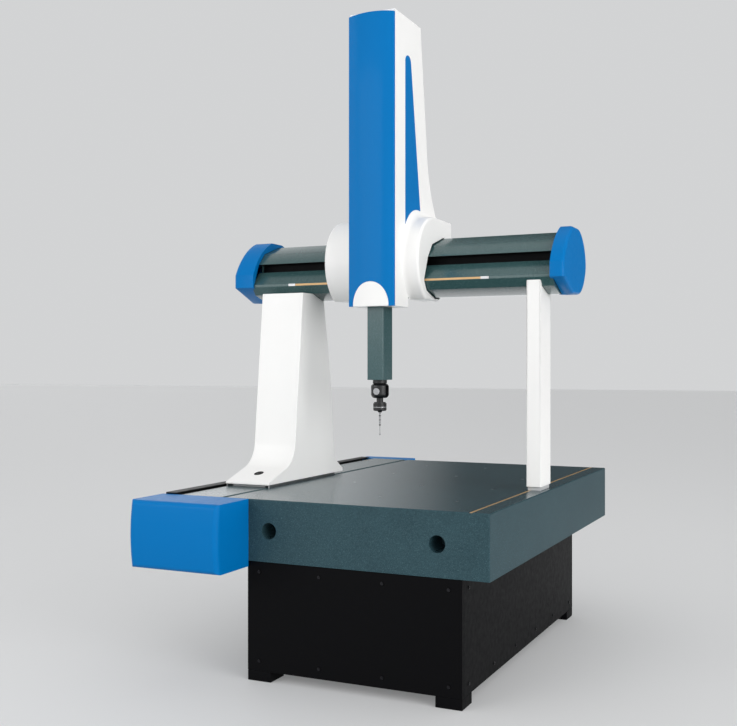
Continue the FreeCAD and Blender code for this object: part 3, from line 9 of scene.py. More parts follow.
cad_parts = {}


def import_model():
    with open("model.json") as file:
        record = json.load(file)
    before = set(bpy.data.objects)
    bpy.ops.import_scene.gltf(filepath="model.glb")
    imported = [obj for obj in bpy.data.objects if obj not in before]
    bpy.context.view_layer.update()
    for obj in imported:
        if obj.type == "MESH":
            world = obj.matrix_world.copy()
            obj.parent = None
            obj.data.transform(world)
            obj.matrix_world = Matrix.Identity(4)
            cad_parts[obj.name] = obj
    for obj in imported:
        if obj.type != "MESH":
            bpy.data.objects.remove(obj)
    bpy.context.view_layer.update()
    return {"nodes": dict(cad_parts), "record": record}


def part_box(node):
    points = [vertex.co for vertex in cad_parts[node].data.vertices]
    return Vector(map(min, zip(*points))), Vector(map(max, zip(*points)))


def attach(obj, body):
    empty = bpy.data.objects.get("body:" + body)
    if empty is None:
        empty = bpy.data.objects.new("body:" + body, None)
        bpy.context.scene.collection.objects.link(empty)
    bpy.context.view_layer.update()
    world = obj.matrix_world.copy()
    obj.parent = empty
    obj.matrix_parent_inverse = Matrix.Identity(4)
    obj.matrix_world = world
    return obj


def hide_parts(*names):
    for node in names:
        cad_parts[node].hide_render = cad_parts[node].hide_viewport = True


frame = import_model()
record = frame["record"]
NODE_BODY = {node: body for body, nodes in record["behaviour"]["bodies"].items() for node in nodes}


# node trees

class Wires:
    """Short calls that add nodes to a tree and join them."""

    def __init__(self, tree):
        self.tree = tree

    def feed(self, item, key, value):
        """Join a socket to a node's input, or set the input to a value."""
        if isinstance(value, bpy.types.NodeSocket):
            self.tree.links.new(value, item.inputs[key])
        else:
            item.inputs[key].default_value = value

    def feed_named(self, item, inputs):
        """Feed several inputs by their names, with _ for a space."""
        for key, value in inputs.items():
            self.feed(item, key.replace("_", " "), value)
        return item

    def add(self, kind, **inputs):
        """A node of this kind with its inputs fed."""
        return self.feed_named(self.tree.nodes.new(kind), inputs)

    def group(self, tree, **inputs):
        """A shared shader group as one node."""
        item = self.tree.nodes.new("ShaderNodeGroup")
        item.node_tree = tree
        return self.feed_named(item, inputs)

    def math(self, operation, *values):
        """One sum, product or other operation on numbers."""
        item = self.tree.nodes.new("ShaderNodeMath")
        item.operation = operation
        for key, value in enumerate(values):
            self.feed(item, key, value)
        return item.outputs[0]

    def mix(self, factor, first, second, blend="MIX"):
        """Two colours mixed."""
        item = self.tree.nodes.new("ShaderNodeMix")
        item.data_type = "RGBA"
        item.blend_type = blend
        for key, value in zip((0, 6, 7), (factor, first, second)):
            self.feed(item, key, value)
        return item.outputs[2]

    def mix_value(self, factor, first, second):
        """Two numbers mixed."""
        item = self.tree.nodes.new("ShaderNodeMix")
        for key, value in zip((0, 2, 3), (factor, first, second)):
            self.feed(item, key, value)
        return item.outputs[0]

    def span(self, value, low, high, to_low=0.0, to_high=1.0):
        """A number that runs from to_low to to_high while value runs from low to high."""
        item = self.tree.nodes.new("ShaderNodeMapRange")
        for key, number in enumerate((value, low, high, to_low, to_high)):
            self.feed(item, key, number)
        return item.outputs[0]

    def noise(self, place, scale, detail, rough=0.5):
        """Soft random patches, scale of them to a metre."""
        return self.add("ShaderNodeTexNoise", Vector=place, Scale=scale, Detail=detail,
                        Roughness=rough).outputs[0]

    def object_place(self):
        """Where a point lies on its own object."""
        return self.add("ShaderNodeTexCoord").outputs["Object"]

    def any_of(self, *masks):
        """The highest of several masks."""
        whole = masks[0]
        for mask in masks[1:]:
            whole = self.math("MAXIMUM", whole, mask)
        return whole


def shader_group(name, inputs, outputs, make):
    """A shared shader group: inputs as (name, kind, default), outputs by name, all numbers."""
    tree = bpy.data.node_groups.new(name, "ShaderNodeTree")
    for label, kind, default in inputs:
        socket = tree.interface.new_socket(label, in_out="INPUT", socket_type=f"NodeSocket{kind}")
        socket.default_value = default
    for label in outputs:
        tree.interface.new_socket(label, in_out="OUTPUT", socket_type="NodeSocketFloat")
    start = tree.nodes.new("NodeGroupInput")
    end = tree.nodes.new("NodeGroupOutput")
    make(Wires(tree), start, end)
    return tree


# finishes

def paint_surface(w, start, end):
    """Sprayed paint: faint orange peel, slow tone drift, a little dust in the roughness."""
    place = w.object_place()
    peel = w.noise(place, start.outputs["Peel scale"], detail=2.0)
    drift = w.noise(place, scale=2.3, detail=2.0)
    dust = w.noise(place, scale=38.0, detail=5.0, rough=0.65)
    off_middle = w.math("SUBTRACT", drift, 0.5)
    w.feed(end, "Tone", w.math("MULTIPLY_ADD", off_middle, start.outputs["Drift"], 1.0))
    w.feed(end, "Dust", w.span(dust, 0.35, 0.75))
    w.feed(end, "Peel", peel)


def stone_surface(w, start, end):
    """Granite: fine dark grains, pale flecks and slow clouds."""
    place = w.object_place()
    scale = start.outputs["Grain scale"]
    grain = w.add("ShaderNodeTexVoronoi", Vector=place, Scale=scale)
    fleck = w.add("ShaderNodeTexVoronoi", Vector=place, Scale=w.math("MULTIPLY", scale, 2.6))
    fine = w.noise(place, w.math("MULTIPLY", scale, 1.5), detail=5.0, rough=0.7)
    spot = w.add("ShaderNodeSeparateColor", Color=grain.outputs["Color"]).outputs[0]
    spark = w.add("ShaderNodeSeparateColor", Color=fleck.outputs["Color"]).outputs[1]
    w.feed(end, "Grain", w.math("MULTIPLY", w.span(spot, 0.2, 0.95), w.span(fine, 0.3, 0.7)))
    w.feed(end, "Fleck", w.span(spark, 0.9, 0.99))
    w.feed(end, "Cloud", w.noise(place, scale=5.0, detail=4.0, rough=0.55))


def brushed_surface(w, start, end):
    """Lines left by machining along one way, and slow stains."""
    place = w.object_place()
    stretched = w.add("ShaderNodeMapping", Vector=place, Scale=start.outputs["Stretch"]).outputs[0]
    w.feed(end, "Lines", w.noise(stretched, scale=1.0, detail=4.0, rough=0.6))
    w.feed(end, "Stain", w.noise(place, scale=9.0, detail=3.0))


PAINT = shader_group("paint_surface", [("Peel scale", "Float", 420.0), ("Drift", "Float", 0.06)],
                     ("Tone", "Dust", "Peel"), paint_surface)
STONE = shader_group("stone_surface", [("Grain scale", "Float", 230.0)],
                     ("Grain", "Fleck", "Cloud"), stone_surface)
BRUSHED = shader_group("brushed_surface", [("Stretch", "Vector", (30.0, 600.0, 600.0))],
                       ("Lines", "Stain"), brushed_surface)


STAIN_SHADE = 0.75      # stained metal against clean metal


def material(name, make, **constants):
    """A principled material: its own sockets hold the constants, make adds what varies."""
    item = bpy.data.materials.new(name)
    item.use_nodes = True
    shader = item.node_tree.nodes["Principled BSDF"]
    for key, value in constants.items():
        shader.inputs[key.replace("_", " ")].default_value = value
    make(Wires(item.node_tree), shader)
    return item


def bump(w, shader, height, strength, distance):
    """Small relief that follows height, distance metres deep."""
    item = w.add("ShaderNodeBump", Strength=strength, Distance=distance, Height=height)
    w.feed(shader, "Normal", item.outputs[0])


def linear(red, green, blue):
    """A colour written as it looks, 0 to 255."""
    def part(value):
        value = value / 255
        return value / 12.92 if value <= 0.04045 else ((value + 0.055) / 1.055) ** 2.4
    return (part(red), part(green), part(blue), 1.0)


def paint(name, colour, rough, peel=420.0, drift=0.06, peel_depth=0.00004, **constants):
    """Sprayed paint, rubber or moulded plastic, all with a fine even skin."""
    def make(w, shader):
        surface = w.group(PAINT, Peel_scale=peel, Drift=drift)
        tone = w.add("ShaderNodeCombineColor", Red=surface.outputs["Tone"],
                     Green=surface.outputs["Tone"], Blue=surface.outputs["Tone"])
        tinted = w.mix(1.0, linear(*colour), tone.outputs[0], blend="MULTIPLY")
        w.feed(shader, "Base Color", tinted)
        roughness = w.span(surface.outputs["Dust"], 0.0, 1.0, rough - 0.04, rough + 0.07)
        w.feed(shader, "Roughness", roughness)
        bump(w, shader, surface.outputs["Peel"], strength=0.25, distance=peel_depth)
    return material(name, make, **constants)


def stone(name, dark, light, fleck, rough, scale=230.0, **constants):
    """Granite in two tones with pale flecks."""
    def make(w, shader):
        surface = w.group(STONE, Grain_scale=scale)
        grain = surface.outputs["Grain"]
        body = w.mix(grain, linear(*dark), linear(*light))
        cloud = w.span(surface.outputs["Cloud"], 0.35, 0.7, 0.0, 0.25)
        clouded = w.mix(cloud, body, linear(*light))
        flecked = w.mix(surface.outputs["Fleck"], clouded, linear(*fleck))
        w.feed(shader, "Base Color", flecked)
        w.feed(shader, "Roughness", w.span(grain, 0.0, 1.0, rough, rough + 0.08))
        bump(w, shader, grain, strength=0.05, distance=0.00003)
    return material(name, make, **constants)


def metal(name, colour, rough, stretch=(30.0, 600.0, 600.0), depth=0.00003, **constants):
    """Bare metal with the lines of its machining, darker where it is stained."""
    def make(w, shader):
        surface = w.group(BRUSHED, Stretch=stretch)
        clean = linear(*colour)
        stained = tuple(channel * STAIN_SHADE for channel in clean[:3]) + (1.0,)
        stain = w.span(surface.outputs["Stain"], 0.3, 0.7)
        w.feed(shader, "Base Color", w.mix(stain, stained, clean))
        lines = surface.outputs["Lines"]
        w.feed(shader, "Roughness", w.span(lines, 0.25, 0.75, rough - 0.07, rough + 0.1))
        bump(w, shader, lines, strength=0.3, distance=depth)
    return material(name, make, Metallic=1.0, **constants)


WHITE = paint("white_paint", (244, 243, 241), rough=0.42,
              Coat_Weight=0.1, Coat_Roughness=0.3, Specular_IOR_Level=0.3)
BLUE = paint("blue_paint", (0, 113, 182), rough=0.42,
             Coat_Weight=0.07, Coat_Roughness=0.1, Specular_IOR_Level=0.05)
BLACK = paint("black_paint", (4, 4, 6), rough=0.55, peel=260.0, drift=0.2, peel_depth=0.00012,
              Specular_IOR_Level=0.08)
GUARD = paint("guard_black", (16, 17, 19), rough=0.55, peel=300.0, drift=0.15,
              peel_depth=0.0001)
# near black, painted shade for the inside of the beam's groove
GROOVE_SHADE = paint("black_groove_shade", (4, 5, 7), rough=0.6, peel=600.0, drift=0.1,
               Specular_IOR_Level=0.1)
GRANITE = stone("table_granite", dark=(40, 66, 74), light=(56, 86, 93), fleck=(84, 112, 118),
                rough=0.2)
GROUND = stone("ground_granite", dark=(38, 63, 71), light=(54, 84, 91), fleck=(80, 108, 114),
               rough=0.5, Specular_IOR_Level=0.2)
RAIL = stone("rail_granite", dark=(66, 84, 88), light=(86, 104, 108), fleck=(122, 136, 138),
             rough=0.22)
BEAM = stone("beam_granite", dark=(46, 76, 77), light=(66, 96, 97), fleck=(96, 122, 121),
             rough=0.18, scale=260.0)
RAM = stone("ram_granite", dark=(50, 80, 83), light=(66, 98, 100), fleck=(90, 118, 119),
            rough=0.22, scale=300.0)
CAST = metal("cast_aluminium", (178, 180, 182), rough=0.42, stretch=(220.0, 220.0, 220.0),
             depth=0.00008)
PAD = metal("pad_aluminium", (196, 198, 200), rough=0.3)
PAD_FACE = paint("pad_grey", (188, 189, 190), rough=0.45)
STEEL = metal("brushed_steel", (176, 177, 179), rough=0.28)
SHINY = metal("ground_rod", (205, 206, 208), rough=0.1, stretch=(40.0, 40.0, 900.0),
              depth=0.00001)
SCREW = metal("blackened_screw", (52, 52, 55), rough=0.38, stretch=(500.0, 500.0, 500.0),
              depth=0.00001)
GOLD = paint("gold_tape", (196, 158, 108), rough=0.36, peel=700.0, drift=0.08, Metallic=0.3)
RUBBER = paint("belt_rubber", (17, 17, 18), rough=0.75, peel=900.0, drift=0.3,
               peel_depth=0.0002)
MOTOR = paint("motor_black", (30, 30, 33), rough=0.5, peel=500.0, drift=0.2)
HEAD = paint("head_black", (18, 18, 20), rough=0.33, peel=1400.0, drift=0.15,
             peel_depth=0.00002)

# each node's finish, and how wide its edges are rounded in millimetres, 0 where they stay
LOOKS = {
    WHITE: {"drive_leg": 5, "support_leg": 2.5, "left_sleeve": 4, "right_sleeve": 4,
            "column_shell": 4, "column_nose": 2.5},
    BLUE: {"front_cover": 2, "rear_cover": 2, "left_end_cap": 2.5, "right_end_cap": 2.5,
           "column_front": 2, "column_stripes": 0.6},
    BLACK: {"levelling_feet": 3, "stand_frame": 4, "front_panel": 2, "rear_panel": 2,
            "left_panel": 2, "right_panel": 2},
    GUARD: {"belt_guard": 1.2},
    GRANITE: {"granite_table": 1.5},
    RAIL: {"guide_rail": 1.5},
    BEAM: {"cross_beam": 2},
    RAM: {"ram": 0.8},
    CAST: {"carriage_frame": 3, "column_spine": 2, "leg_skirts": 1, "ram_top_clamp": 1,
           "counterbalance_cylinder": 0.6},
    PAD_FACE: {"bridge_air_pads": 1, "carriage_air_pads": 1, "ram_air_pads": 1},
    PAD: {"x_drive_pulley": 0, "x_idler_pulley": 0, "y_drive_pulley": 0, "y_idler_pulley": 0,
          "z_drive_pulley": 0, "z_idler_pulley": 0},
    STEEL: {"rail_brackets": 1.5, "threaded_inserts": 0, "y_idler_bracket": 1,
            "x_idler_bracket": 1, "knuckle_pin": 0.4, "stylus": 0},
    SHINY: {"counterbalance_rod": 0},
    GOLD: {"x_scale_tape": 0, "y_scale_tape": 0, "track_strip": 0},
    RUBBER: {"x_belt": 0, "y_belt": 0, "z_belt": 0, "support_pads": 1.5},
    MOTOR: {"x_motor": 1.5, "y_motor": 1.5, "z_motor": 1.5},
    HEAD: {"head_mount": 1, "head_yoke": 1, "head_knuckle": 1, "touch_probe": 0.8},
}


# rounded edges

ROUNDED_FROM = math.radians(28)     # edges sharper than this are rounded
SHARP_PLAIN = math.radians(35)      # edges sharper than this stay sharp on a plain piece
SHARP_ROUNDED = math.radians(50)    # and on one whose edges are rounded
JOINED_WITHIN = 0.00001             # points nearer than this are one point
FLAT_WITHIN = math.radians(0.3)     # triangles that turn less than this are one face
TOP_FACING = 0.9                    # faces that look up at least this much are polished


def plain_object(name, data):
    """An object in the scene, at the origin."""
    item = bpy.data.objects.new(name, data)
    bpy.context.scene.collection.objects.link(item)
    return item


def mesh_object(name, form, look):
    """An object of one finish made from a bmesh, which is used up."""
    mesh = bpy.data.meshes.new(name)
    form.to_mesh(mesh)
    form.free()
    mesh.materials.append(look)
    return plain_object(name, mesh)


def settled(item):
    """The object with its modifiers turned into plain mesh."""
    view = bpy.context.evaluated_depsgraph_get()
    mesh = bpy.data.meshes.new_from_object(item.evaluated_get(view))
    mesh.name = item.name
    item.modifiers.clear()
    item.data = mesh
    return item


def round_edges(item, wide):
    """Round the sharp edges by wide metres and shade the flat faces flat."""
    if wide:
        edge = item.modifiers.new("edges", "BEVEL")
        edge.width = wide
        edge.segments = 2
        edge.limit_method = "ANGLE"
        edge.angle_limit = ROUNDED_FROM
        settled(item)
    item.data.shade_smooth()
    item.data.set_sharp_from_angle(angle=SHARP_ROUNDED if wide else SHARP_PLAIN)
    if wide:
        even = item.modifiers.new("even", "WEIGHTED_NORMAL")
        even.keep_sharp = True
        settled(item)


def made_from(name, form, look, body, wide=0.0):
    """A piece from a bmesh, its sharp edges rounded by wide metres, that rides on a body."""
    bmesh.ops.recalc_face_normals(form, faces=form.faces)
    item = mesh_object(name, form, look)
    round_edges(item, wide)
    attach(item, body)
    return item


def soften(node, look, wide):
    """A CAD node's form again, its triangles joined and its edges rounded by wide millimetres."""
    form = bmesh.new()
    form.from_mesh(frame["nodes"][node].data)
    bmesh.ops.remove_doubles(form, verts=form.verts, dist=JOINED_WITHIN)
    bmesh.ops.dissolve_limit(form, angle_limit=FLAT_WITHIN, verts=form.verts, edges=form.edges)
    item = mesh_object(f"{node}_finished", form, look)
    round_edges(item, wide / 1000)
    if node == "granite_table":
        grind_sides(item)
    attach(item, NODE_BODY[node])
    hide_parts(node)


def grind_sides(item):
    """Leave the table's top polished, and give its other faces the duller ground finish."""
    item.data.materials.append(GROUND)
    for face in item.data.polygons:
        face.material_index = 0 if face.normal.z > TOP_FACING else 1


for look, widths in LOOKS.items():
    for node, wide in widths.items():
        item = frame["nodes"][node]
        item.data.materials.clear()
        item.data.materials.append(look)
        if wide:
            soften(node, look, wide)


# screws

HEAD_TAPER = 0.9        # the top of a screw head against its foot
SOCKET_LIFT = 0.45      # how far up the head its key socket is cut
SOCKET_WIDE = 0.5       # the key socket against the head
HEAD_SUNK = 0.08        # the part of a head's height that sits in the piece
RAY_GAP = 0.1           # how far outside a piece the rays that find its surface start


def screw_tree():
    """A socket head screw's head on every point, turned by the point's own lay."""
    tree = bpy.data.node_groups.new("screw_heads", "GeometryNodeTree")
    tree.interface.new_socket("Geometry", in_out="INPUT", socket_type="NodeSocketGeometry")
    for label, default in (("Head radius", 0.006), ("Head height", 0.005), ("Socket size", 0.5)):
        socket = tree.interface.new_socket(label, in_out="INPUT", socket_type="NodeSocketFloat")
        socket.default_value = default
    tree.interface.new_socket("Finish", in_out="INPUT", socket_type="NodeSocketMaterial")
    tree.interface.new_socket("Geometry", in_out="OUTPUT", socket_type="NodeSocketGeometry")
    w = Wires(tree)
    start, end = w.add("NodeGroupInput"), w.add("NodeGroupOutput")
    radius, height = start.outputs["Head radius"], start.outputs["Head height"]
    head = w.add("GeometryNodeMeshCone", Vertices=24, Radius_Bottom=radius, Depth=height,
                 Radius_Top=w.math("MULTIPLY", radius, HEAD_TAPER))
    key_radius = w.math("MULTIPLY", radius, start.outputs["Socket size"])
    key = w.add("GeometryNodeMeshCone", Vertices=6, Radius_Bottom=key_radius,
                Radius_Top=key_radius, Depth=height)
    lift = w.add("ShaderNodeCombineXYZ", Z=w.math("MULTIPLY", height, SOCKET_LIFT))
    raised = w.add("GeometryNodeTransform", Geometry=key.outputs["Mesh"],
                   Translation=lift.outputs[0])
    cut = w.add("GeometryNodeMeshBoolean")
    cut.operation = "DIFFERENCE"
    w.feed(cut, "Mesh 1", head.outputs["Mesh"])
    w.feed(cut, "Mesh 2", raised.outputs["Geometry"])
    lay = w.add("GeometryNodeInputNamedAttribute", Name="lay")
    lay.data_type = "FLOAT_VECTOR"
    turn = w.add("FunctionNodeEulerToRotation", Euler=lay.outputs["Attribute"])
    spread = w.add("GeometryNodeInstanceOnPoints", Points=start.outputs["Geometry"],
                   Instance=cut.outputs["Mesh"], Rotation=turn.outputs["Rotation"])
    whole = w.add("GeometryNodeRealizeInstances", Geometry=spread.outputs["Instances"])
    dressed = w.add("GeometryNodeSetMaterial", Geometry=whole.outputs["Geometry"],
                    Material=start.outputs["Finish"])
    w.feed(end, "Geometry", dressed.outputs["Geometry"])
    return tree


def grown(name, tree, mesh, body, **inputs):
    """A piece that a tree makes from a mesh, turned into plain mesh and set on its body."""
    item = plain_object(name, mesh)
    step = item.modifiers.new("tree", "NODES")
    step.node_group = tree
    sockets = {socket.name: socket.identifier for socket in tree.interface.items_tree
               if socket.item_type == "SOCKET" and socket.in_out == "INPUT"}
    for key, value in inputs.items():
        step[sockets[key.replace("_", " ")]] = value
    round_edges(settled(item), 0.0)
    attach(item, body)
    return item


SCREW_TREE = screw_tree()
SKIN = {}


def skin(name):
    """A node's surface, to seat small pieces on."""
    if name not in SKIN:
        mesh = frame["nodes"][name].data
        SKIN[name] = BVHTree.FromPolygons([spot.co for spot in mesh.vertices],
                                          [list(face.vertices) for face in mesh.polygons])
    return SKIN[name]


def screws(name, on, rays, radius, height, look):
    """Screw heads where rays, as (from, way) pairs, meet the node that they sit on."""
    spots, lays = [], []
    for start, way in rays:
        place, normal, _, _ = skin(on).ray_cast(Vector(start), Vector(way))
        if place is None:
            raise ValueError(f"{name}: nothing under {tuple(start)}")
        if normal.dot(Vector(way)) > 0:
            normal = -normal
        spots.append(place - normal * height * HEAD_SUNK)
        lays.append(normal.to_track_quat("Z", "Y").to_euler())
    mesh = bpy.data.meshes.new(name)
    mesh.from_pydata(spots, [], [])
    lay = mesh.attributes.new("lay", "FLOAT_VECTOR", "POINT")
    lay.data.foreach_set("vector", [value for turn in lays for value in turn])
    item = grown(name, SCREW_TREE, mesh, NODE_BODY[on], Head_radius=radius, Head_height=height,
                 Socket_size=SOCKET_WIDE, Finish=look)


def between(low, high, count, inset):
    """Places spread evenly between two edges, the outer ones inset from them."""
    step = (high - low - 2 * inset) / (count - 1)
    return [low + inset + step * index for index in range(count)]


def panel_screws():
    """A row of screws along the top and the bottom of each panel of the stand."""
    panels = (("front_panel", 1, -1, 4), ("rear_panel", 1, 1, 4),
              ("left_panel", 0, -1, 6), ("right_panel", 0, 1, 6))
    for on, axis, outside, count in panels:
        low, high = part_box(on)
        away = (high if outside > 0 else low)[axis] + outside * RAY_GAP
        along = 1 - axis
        rays = []
        for run in between(low[along], high[along], count, inset=0.06):
            for z in (low.z + 0.045, high.z - 0.045):
                start, way = [0.0, 0.0, z], [0.0, 0.0, 0.0]
                start[axis], start[along], way[axis] = away, run, -outside
                rays.append((start, way))
        screws(f"{on}_screws", on, rays, radius=0.0075, height=0.004, look=SCREW)


def guard_screws():
    """A row of screws along the belt guard's outer side."""
    low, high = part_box("belt_guard")
    z = (low.z + high.z) / 2
    rays = [((low.x - RAY_GAP, y, z), (1, 0, 0))
            for y in between(low.y, high.y, count=7, inset=0.08)]
    screws("belt_guard_screws", "belt_guard", rays, radius=0.005, height=0.003, look=SCREW)


def column_screws():
    """Two rows of screws up the back of the column."""
    low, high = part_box("column_shell")
    middle = (low.x + high.x) / 2
    rays = [((middle + aside, high.y + RAY_GAP, z), (0, -1, 0))
            for aside in (-0.1, 0.1) for z in between(low.z, high.z, count=6, inset=0.12)]
    screws("column_back_screws", "column_shell", rays, radius=0.006, height=0.0035, look=STEEL)


def sleeve_screws():
    """Screws in the back of both carriage sleeves."""
    for on in ("left_sleeve", "right_sleeve"):
        low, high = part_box(on)
        rays = [((x, high.y + RAY_GAP, z), (0, -1, 0))
                for x in between(low.x, high.x, count=2, inset=0.03)
                for z in between(low.z, high.z, count=3, inset=0.06)]
        screws(f"{on}_screws", on, rays, radius=0.005, height=0.003, look=STEEL)


# turned and drawn trim

POLE_WITHIN = 0.0000001     # the points that a pole's ring closes into
BAND_DOWN = 0.42            # how far down the probe its steel band sits


def turned(name, profile, centre, look, body, axis="z", steps=48):
    """A closed ring or disc turned about centre, from (radius, height) pairs in millimetres."""
    form = bmesh.new()
    rings = []
    for step in range(steps):
        turn = 2 * math.pi * step / steps
        ring = []
        for radius, height in profile:
            flat = (radius * math.cos(turn) / 1000, radius * math.sin(turn) / 1000, height / 1000)
            if axis == "y":
                flat = (flat[0], -flat[2], flat[1])
            ring.append(form.verts.new(Vector(flat) + Vector(centre)))
        rings.append(ring)
    count = len(profile)
    for step in range(steps):
        near, far = rings[step], rings[(step + 1) % steps]
        for index in range(count):
            after = (index + 1) % count
            if profile[index][0] or profile[after][0]:
                form.faces.new((near[index], near[after], far[after], far[index]))
    bmesh.ops.remove_doubles(form, verts=form.verts, dist=POLE_WITHIN)
    return made_from(name, form, look, body)


def band(outer, inner, low, high, edge=0.4):
    """The section of a ring with small bevels on its outer edges, in millimetres."""
    return [(inner, low), (outer - edge, low), (outer, low + edge), (outer, high - edge),
            (outer - edge, high), (inner, high)]


def bar_along_x(name, section, start, end, look, body, wide=0.0):
    """A bar of constant (y, z) section from start to end."""
    form = bmesh.new()
    ends = [[form.verts.new((x, y, z)) for y, z in section] for x in (start, end)]
    form.faces.new(ends[0])
    form.faces.new(ends[1])
    count = len(section)
    for index in range(count):
        after = (index + 1) % count
        form.faces.new((ends[0][index], ends[0][after], ends[1][after], ends[1][index]))
    return made_from(name, form, look, body, wide)


def recess_painted_shade():
    """A dark disc sunk in the round recess in the drive leg's toe, painted shade for the recess's
    dark hollow, its face along the slope.
    """
    low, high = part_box("drive_leg")
    x, y = (low.x + high.x) / 2, low.y + 0.118
    beside = 0.0265     # just outside the recess
    front, back = (skin("drive_leg").ray_cast(Vector((x, y + step, high.z)),
                                              Vector((0, 0, -1)))[0].z
                   for step in (-beside, beside))
    slope = (back - front) / (2 * beside)
    sunk = 0.0025
    radius, depth, bevel_tall, bevel_wide = 24.6, 9, 1.2, 0.8
    profile = [(0, -depth), (radius, -depth), (radius, -bevel_tall), (radius - bevel_wide, 0),
               (0, 0)]
    # painted shade: a dark disc that fills the recess so that it reads as a dark hollow
    item = turned("leg_recess_plug", profile, (x, y, (front + back) / 2 - sunk), RUBBER,
                  "bridge", steps=64)
    for point in item.data.vertices:
        point.co.z += slope * (point.co.y - y)


def groove_painted_shade():
    """A black sheet, 1 mm thick, that lines the beam's groove short of the end caps: painted shade
    for the groove's dark inside.
    """
    low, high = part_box("cross_beam")
    thick, end_gap = 0.001, 0.014
    lower_lip, upper_lip, back = low.y + 0.0735, low.y + 0.0505, low.y + 0.1009
    base, roof = low.z + 0.1591, low.z + 0.2009
    section = [(lower_lip, base), (back, base), (back, roof), (upper_lip, roof),
               (upper_lip, roof - thick), (back - thick, roof - thick),
               (back - thick, base + thick), (lower_lip, base + thick)]
    # painted shade: the sheet darkens the groove's inside
    item = bar_along_x("groove_painted_shade", section, low.x + end_gap, high.x - end_gap, GROOVE_SHADE,
                       "bridge")


def tape_clamps():
    """Small plates that hold down both ends of the beam's scale."""
    low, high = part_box("x_scale_tape")
    middle = (low.z + high.z) / 2
    front, half = low.y - 0.0012, 0.0065
    over, past = 0.03, 0.012        # how far a plate reaches over the tape and past its end
    section = [(front, middle - half), (high.y, middle - half), (high.y, middle + half),
               (front, middle + half)]
    for side, start, end in (("left", low.x - past, low.x + over),
                             ("right", high.x - over, high.x + past)):
        item = bar_along_x(f"tape_clamp_{side}", section, start, end, STEEL, "bridge",
                           wide=0.0004)


def probe_rings():
    """The steel band round the probe and the ring round the knuckle's pin."""
    low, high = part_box("touch_probe")
    centre = ((low.x + high.x) / 2, (low.y + high.y) / 2, high.z)
    radius = (high.x - low.x) * 500
    middle = -(high.z - low.z) * 1000 * BAND_DOWN
    item = turned("probe_band", band(radius + 0.35, radius - 0.6, middle - 2, middle + 2), centre,
                  STEEL, "knuckle")
    low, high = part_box("knuckle_pin")
    centre = ((low.x + high.x) / 2, low.y, (low.z + high.z) / 2)
    radius = (high.x - low.x) * 500
    item = turned("knuckle_pin_ring", band(radius + 0.3, radius - 2.2, -0.8, 0.35), centre,
                  STEEL, "knuckle", axis="y")


def stylus_collars():
    """Three dark collars down the stylus: how far down each starts, its height, its radius."""
    low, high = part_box("stylus")
    centre = ((low.x + high.x) / 2, (low.y + high.y) / 2, high.z)
    for place, drop, tall, radius in (("top", 14, 5, 5.4), ("mid", 36, 4, 5.2),
                                      ("low", 60, 6, 4.9)):
        item = turned(f"stylus_collar_{place}", band(radius, radius - 1.4, -drop - tall, -drop),
                      centre, HEAD, "tip", steps=32)


panel_screws()
guard_screws()
column_screws()
sleeve_screws()
recess_painted_shade()
groove_painted_shade()
tape_clamps()
probe_rings()
stylus_collars()


# stage, where a strength of 1 is white

ROOM_TINT = (0.98, 0.99, 1.0, 1.0)
FLOOR_GREY = (0.58, 0.58, 0.58, 1.0)
FLOOR_HALF = 60
FLOOR_LIFT = 0.16               # what the floor gives out to the camera and to gloss
BACKGROUND = 0.66               # what the camera sees behind the machine
MIRRORED_FRONT = 0.66           # what gloss sees in front of the machine
MIRRORED_BACK = 0.07            # and behind it
MIRRORED_CORNER = 1.6           # the paler part behind it on the left
WINDOW = 3.0                    # the upright window at the front on the left
SKY_LEVEL, SKY_TOP = 1.24, 0.42     # the light on the machine from all round and from above
LAMPS = {
    "key": {"place": (-3.0, -7.0, 3.4), "target": (0.0, 0.0, 1.4), "size": (4.0, 3.0),
            "power": 98},
    "right": {"place": (12.5, -5.5, 4.2), "target": (-0.5, 0.0, 1.2), "size": (9.0, 5.0),
              "power": 790},
    "front": {"place": (2.5, -8.5, 2.2), "target": (0.0, 0.0, 1.3), "size": (5.0, 3.0),
              "power": 25},
    "top": {"place": (0.0, 0.5, 6.5), "target": (0.0, 0.0, 1.0), "size": (5.0, 5.0),
            "power": 25},
}
PHOTO_WIDE = 737                # pixels, as are the next two
FOCAL_LENGTH = 1041.32
HORIZON_SHIFT = 4.14
SENSOR_WIDE = 36.0
CAMERA_PLACE = (2.1732, -5.0578, 1.4161)
CAMERA_TURN = 0.4385


def floor():
    """A pale floor, lifted for the camera and for gloss, and paler in gloss far behind."""
    look = bpy.data.materials.new("floor_pale")
    look.use_nodes = True
    w = Wires(look.node_tree)
    shader = look.node_tree.nodes["Principled BSDF"]
    shader.inputs["Base Color"].default_value = FLOOR_GREY
    shader.inputs["Roughness"].default_value = 0.7
    shader.inputs["Emission Color"].default_value = ROOM_TINT
    path = w.add("ShaderNodeLightPath")
    gloss = path.outputs["Is Glossy Ray"]
    seen = w.any_of(path.outputs["Is Camera Ray"], path.outputs["Is Transmission Ray"], gloss)
    x, y, _ = w.add("ShaderNodeSeparateXYZ", Vector=w.object_place()).outputs
    behind = w.math("MULTIPLY", w.span(y, 1.0, 4.0), w.span(x, 0.5, 2.0, 1.0, 0.0))
    lift = w.math("ADD", w.math("MULTIPLY", seen, FLOOR_LIFT), w.math("MULTIPLY", gloss, behind))
    w.feed(shader, "Emission Strength", lift)
    form = bmesh.new()
    bmesh.ops.create_grid(form, x_segments=1, y_segments=1, size=FLOOR_HALF)
    mesh_object("floor", form, look)


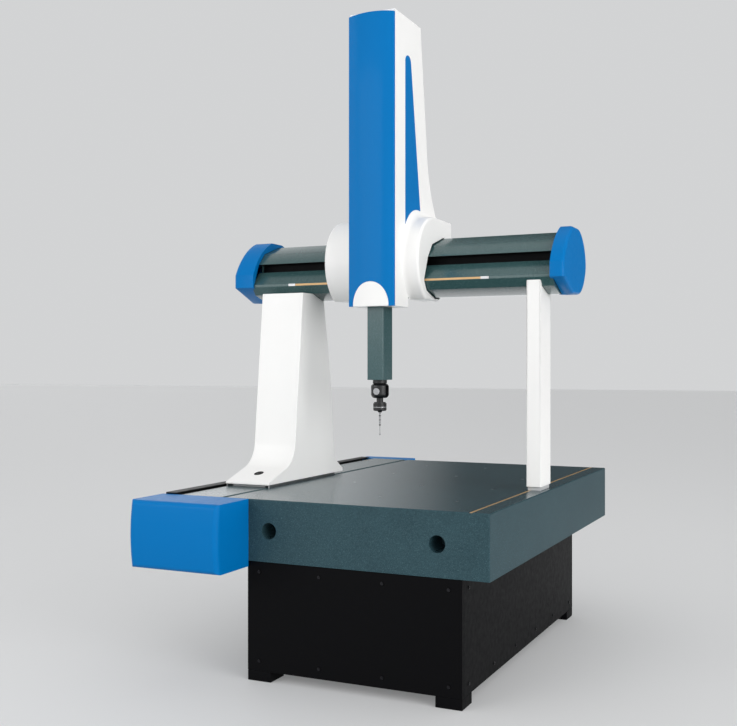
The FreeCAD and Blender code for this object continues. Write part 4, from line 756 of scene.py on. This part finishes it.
def world():
    """An even pale room, darker overhead; gloss sees it darker behind and pale on the left."""
    item = bpy.data.worlds.new("studio")
    bpy.context.scene.world = item
    item.use_nodes = True
    w = Wires(item.node_tree)
    background = item.node_tree.nodes["Background"]
    background.inputs["Color"].default_value = ROOM_TINT
    path = w.add("ShaderNodeLightPath")
    seen = w.any_of(path.outputs["Is Camera Ray"], path.outputs["Is Transmission Ray"])
    way = w.add("ShaderNodeTexCoord").outputs["Generated"]
    x, y, z = w.add("ShaderNodeSeparateXYZ", Vector=way).outputs
    corner = w.math("MULTIPLY", w.span(x, -0.6, -0.34, 1.0, 0.0), w.span(y, 0.2, 0.8))
    room = w.span(y, 0.2, 0.8, MIRRORED_FRONT, MIRRORED_BACK)
    mirrored = w.math("ADD", w.math("MULTIPLY", corner, MIRRORED_CORNER), room)
    strip = w.math("MULTIPLY", w.span(x, -0.86, -0.78), w.span(x, -0.7, -0.62, 1.0, 0.0))
    window = w.math("MULTIPLY", strip, w.span(y, -0.2, 0.0, WINDOW, 0.0))
    mirrored = w.math("ADD", mirrored, window)
    sky = w.span(z, 0.0, 1.0, SKY_LEVEL, SKY_TOP)
    light = w.mix_value(path.outputs["Is Glossy Ray"], sky, mirrored)
    w.feed(background, "Strength", w.mix_value(seen, light, BACKGROUND))


def lamp(name, place, target, size, power):
    """A soft rectangular lamp turned towards its target."""
    data = bpy.data.lights.new(name, "AREA")
    data.shape = "RECTANGLE"
    data.size, data.size_y = size
    data.energy = power
    item = plain_object(name, data)
    item.location = place
    item.rotation_euler = (Vector(target) - Vector(place)).to_track_quat("-Z", "Y").to_euler()


def camera():
    """The camera, where the table's, the stand's and the beam's edges in the photo put it."""
    data = bpy.data.cameras.new("camera")
    data.sensor_width = SENSOR_WIDE
    data.lens = FOCAL_LENGTH / PHOTO_WIDE * SENSOR_WIDE
    data.shift_y = HORIZON_SHIFT / PHOTO_WIDE
    data.clip_end = 200.0
    item = plain_object("camera", data)
    item.location = CAMERA_PLACE
    item.rotation_euler = (math.pi / 2, 0.0, CAMERA_TURN)
    bpy.context.scene.camera = item


floor()
world()
camera()
for name, values in LAMPS.items():
    lamp(name, **values)
bpy.context.scene.view_settings.view_transform = "Standard"
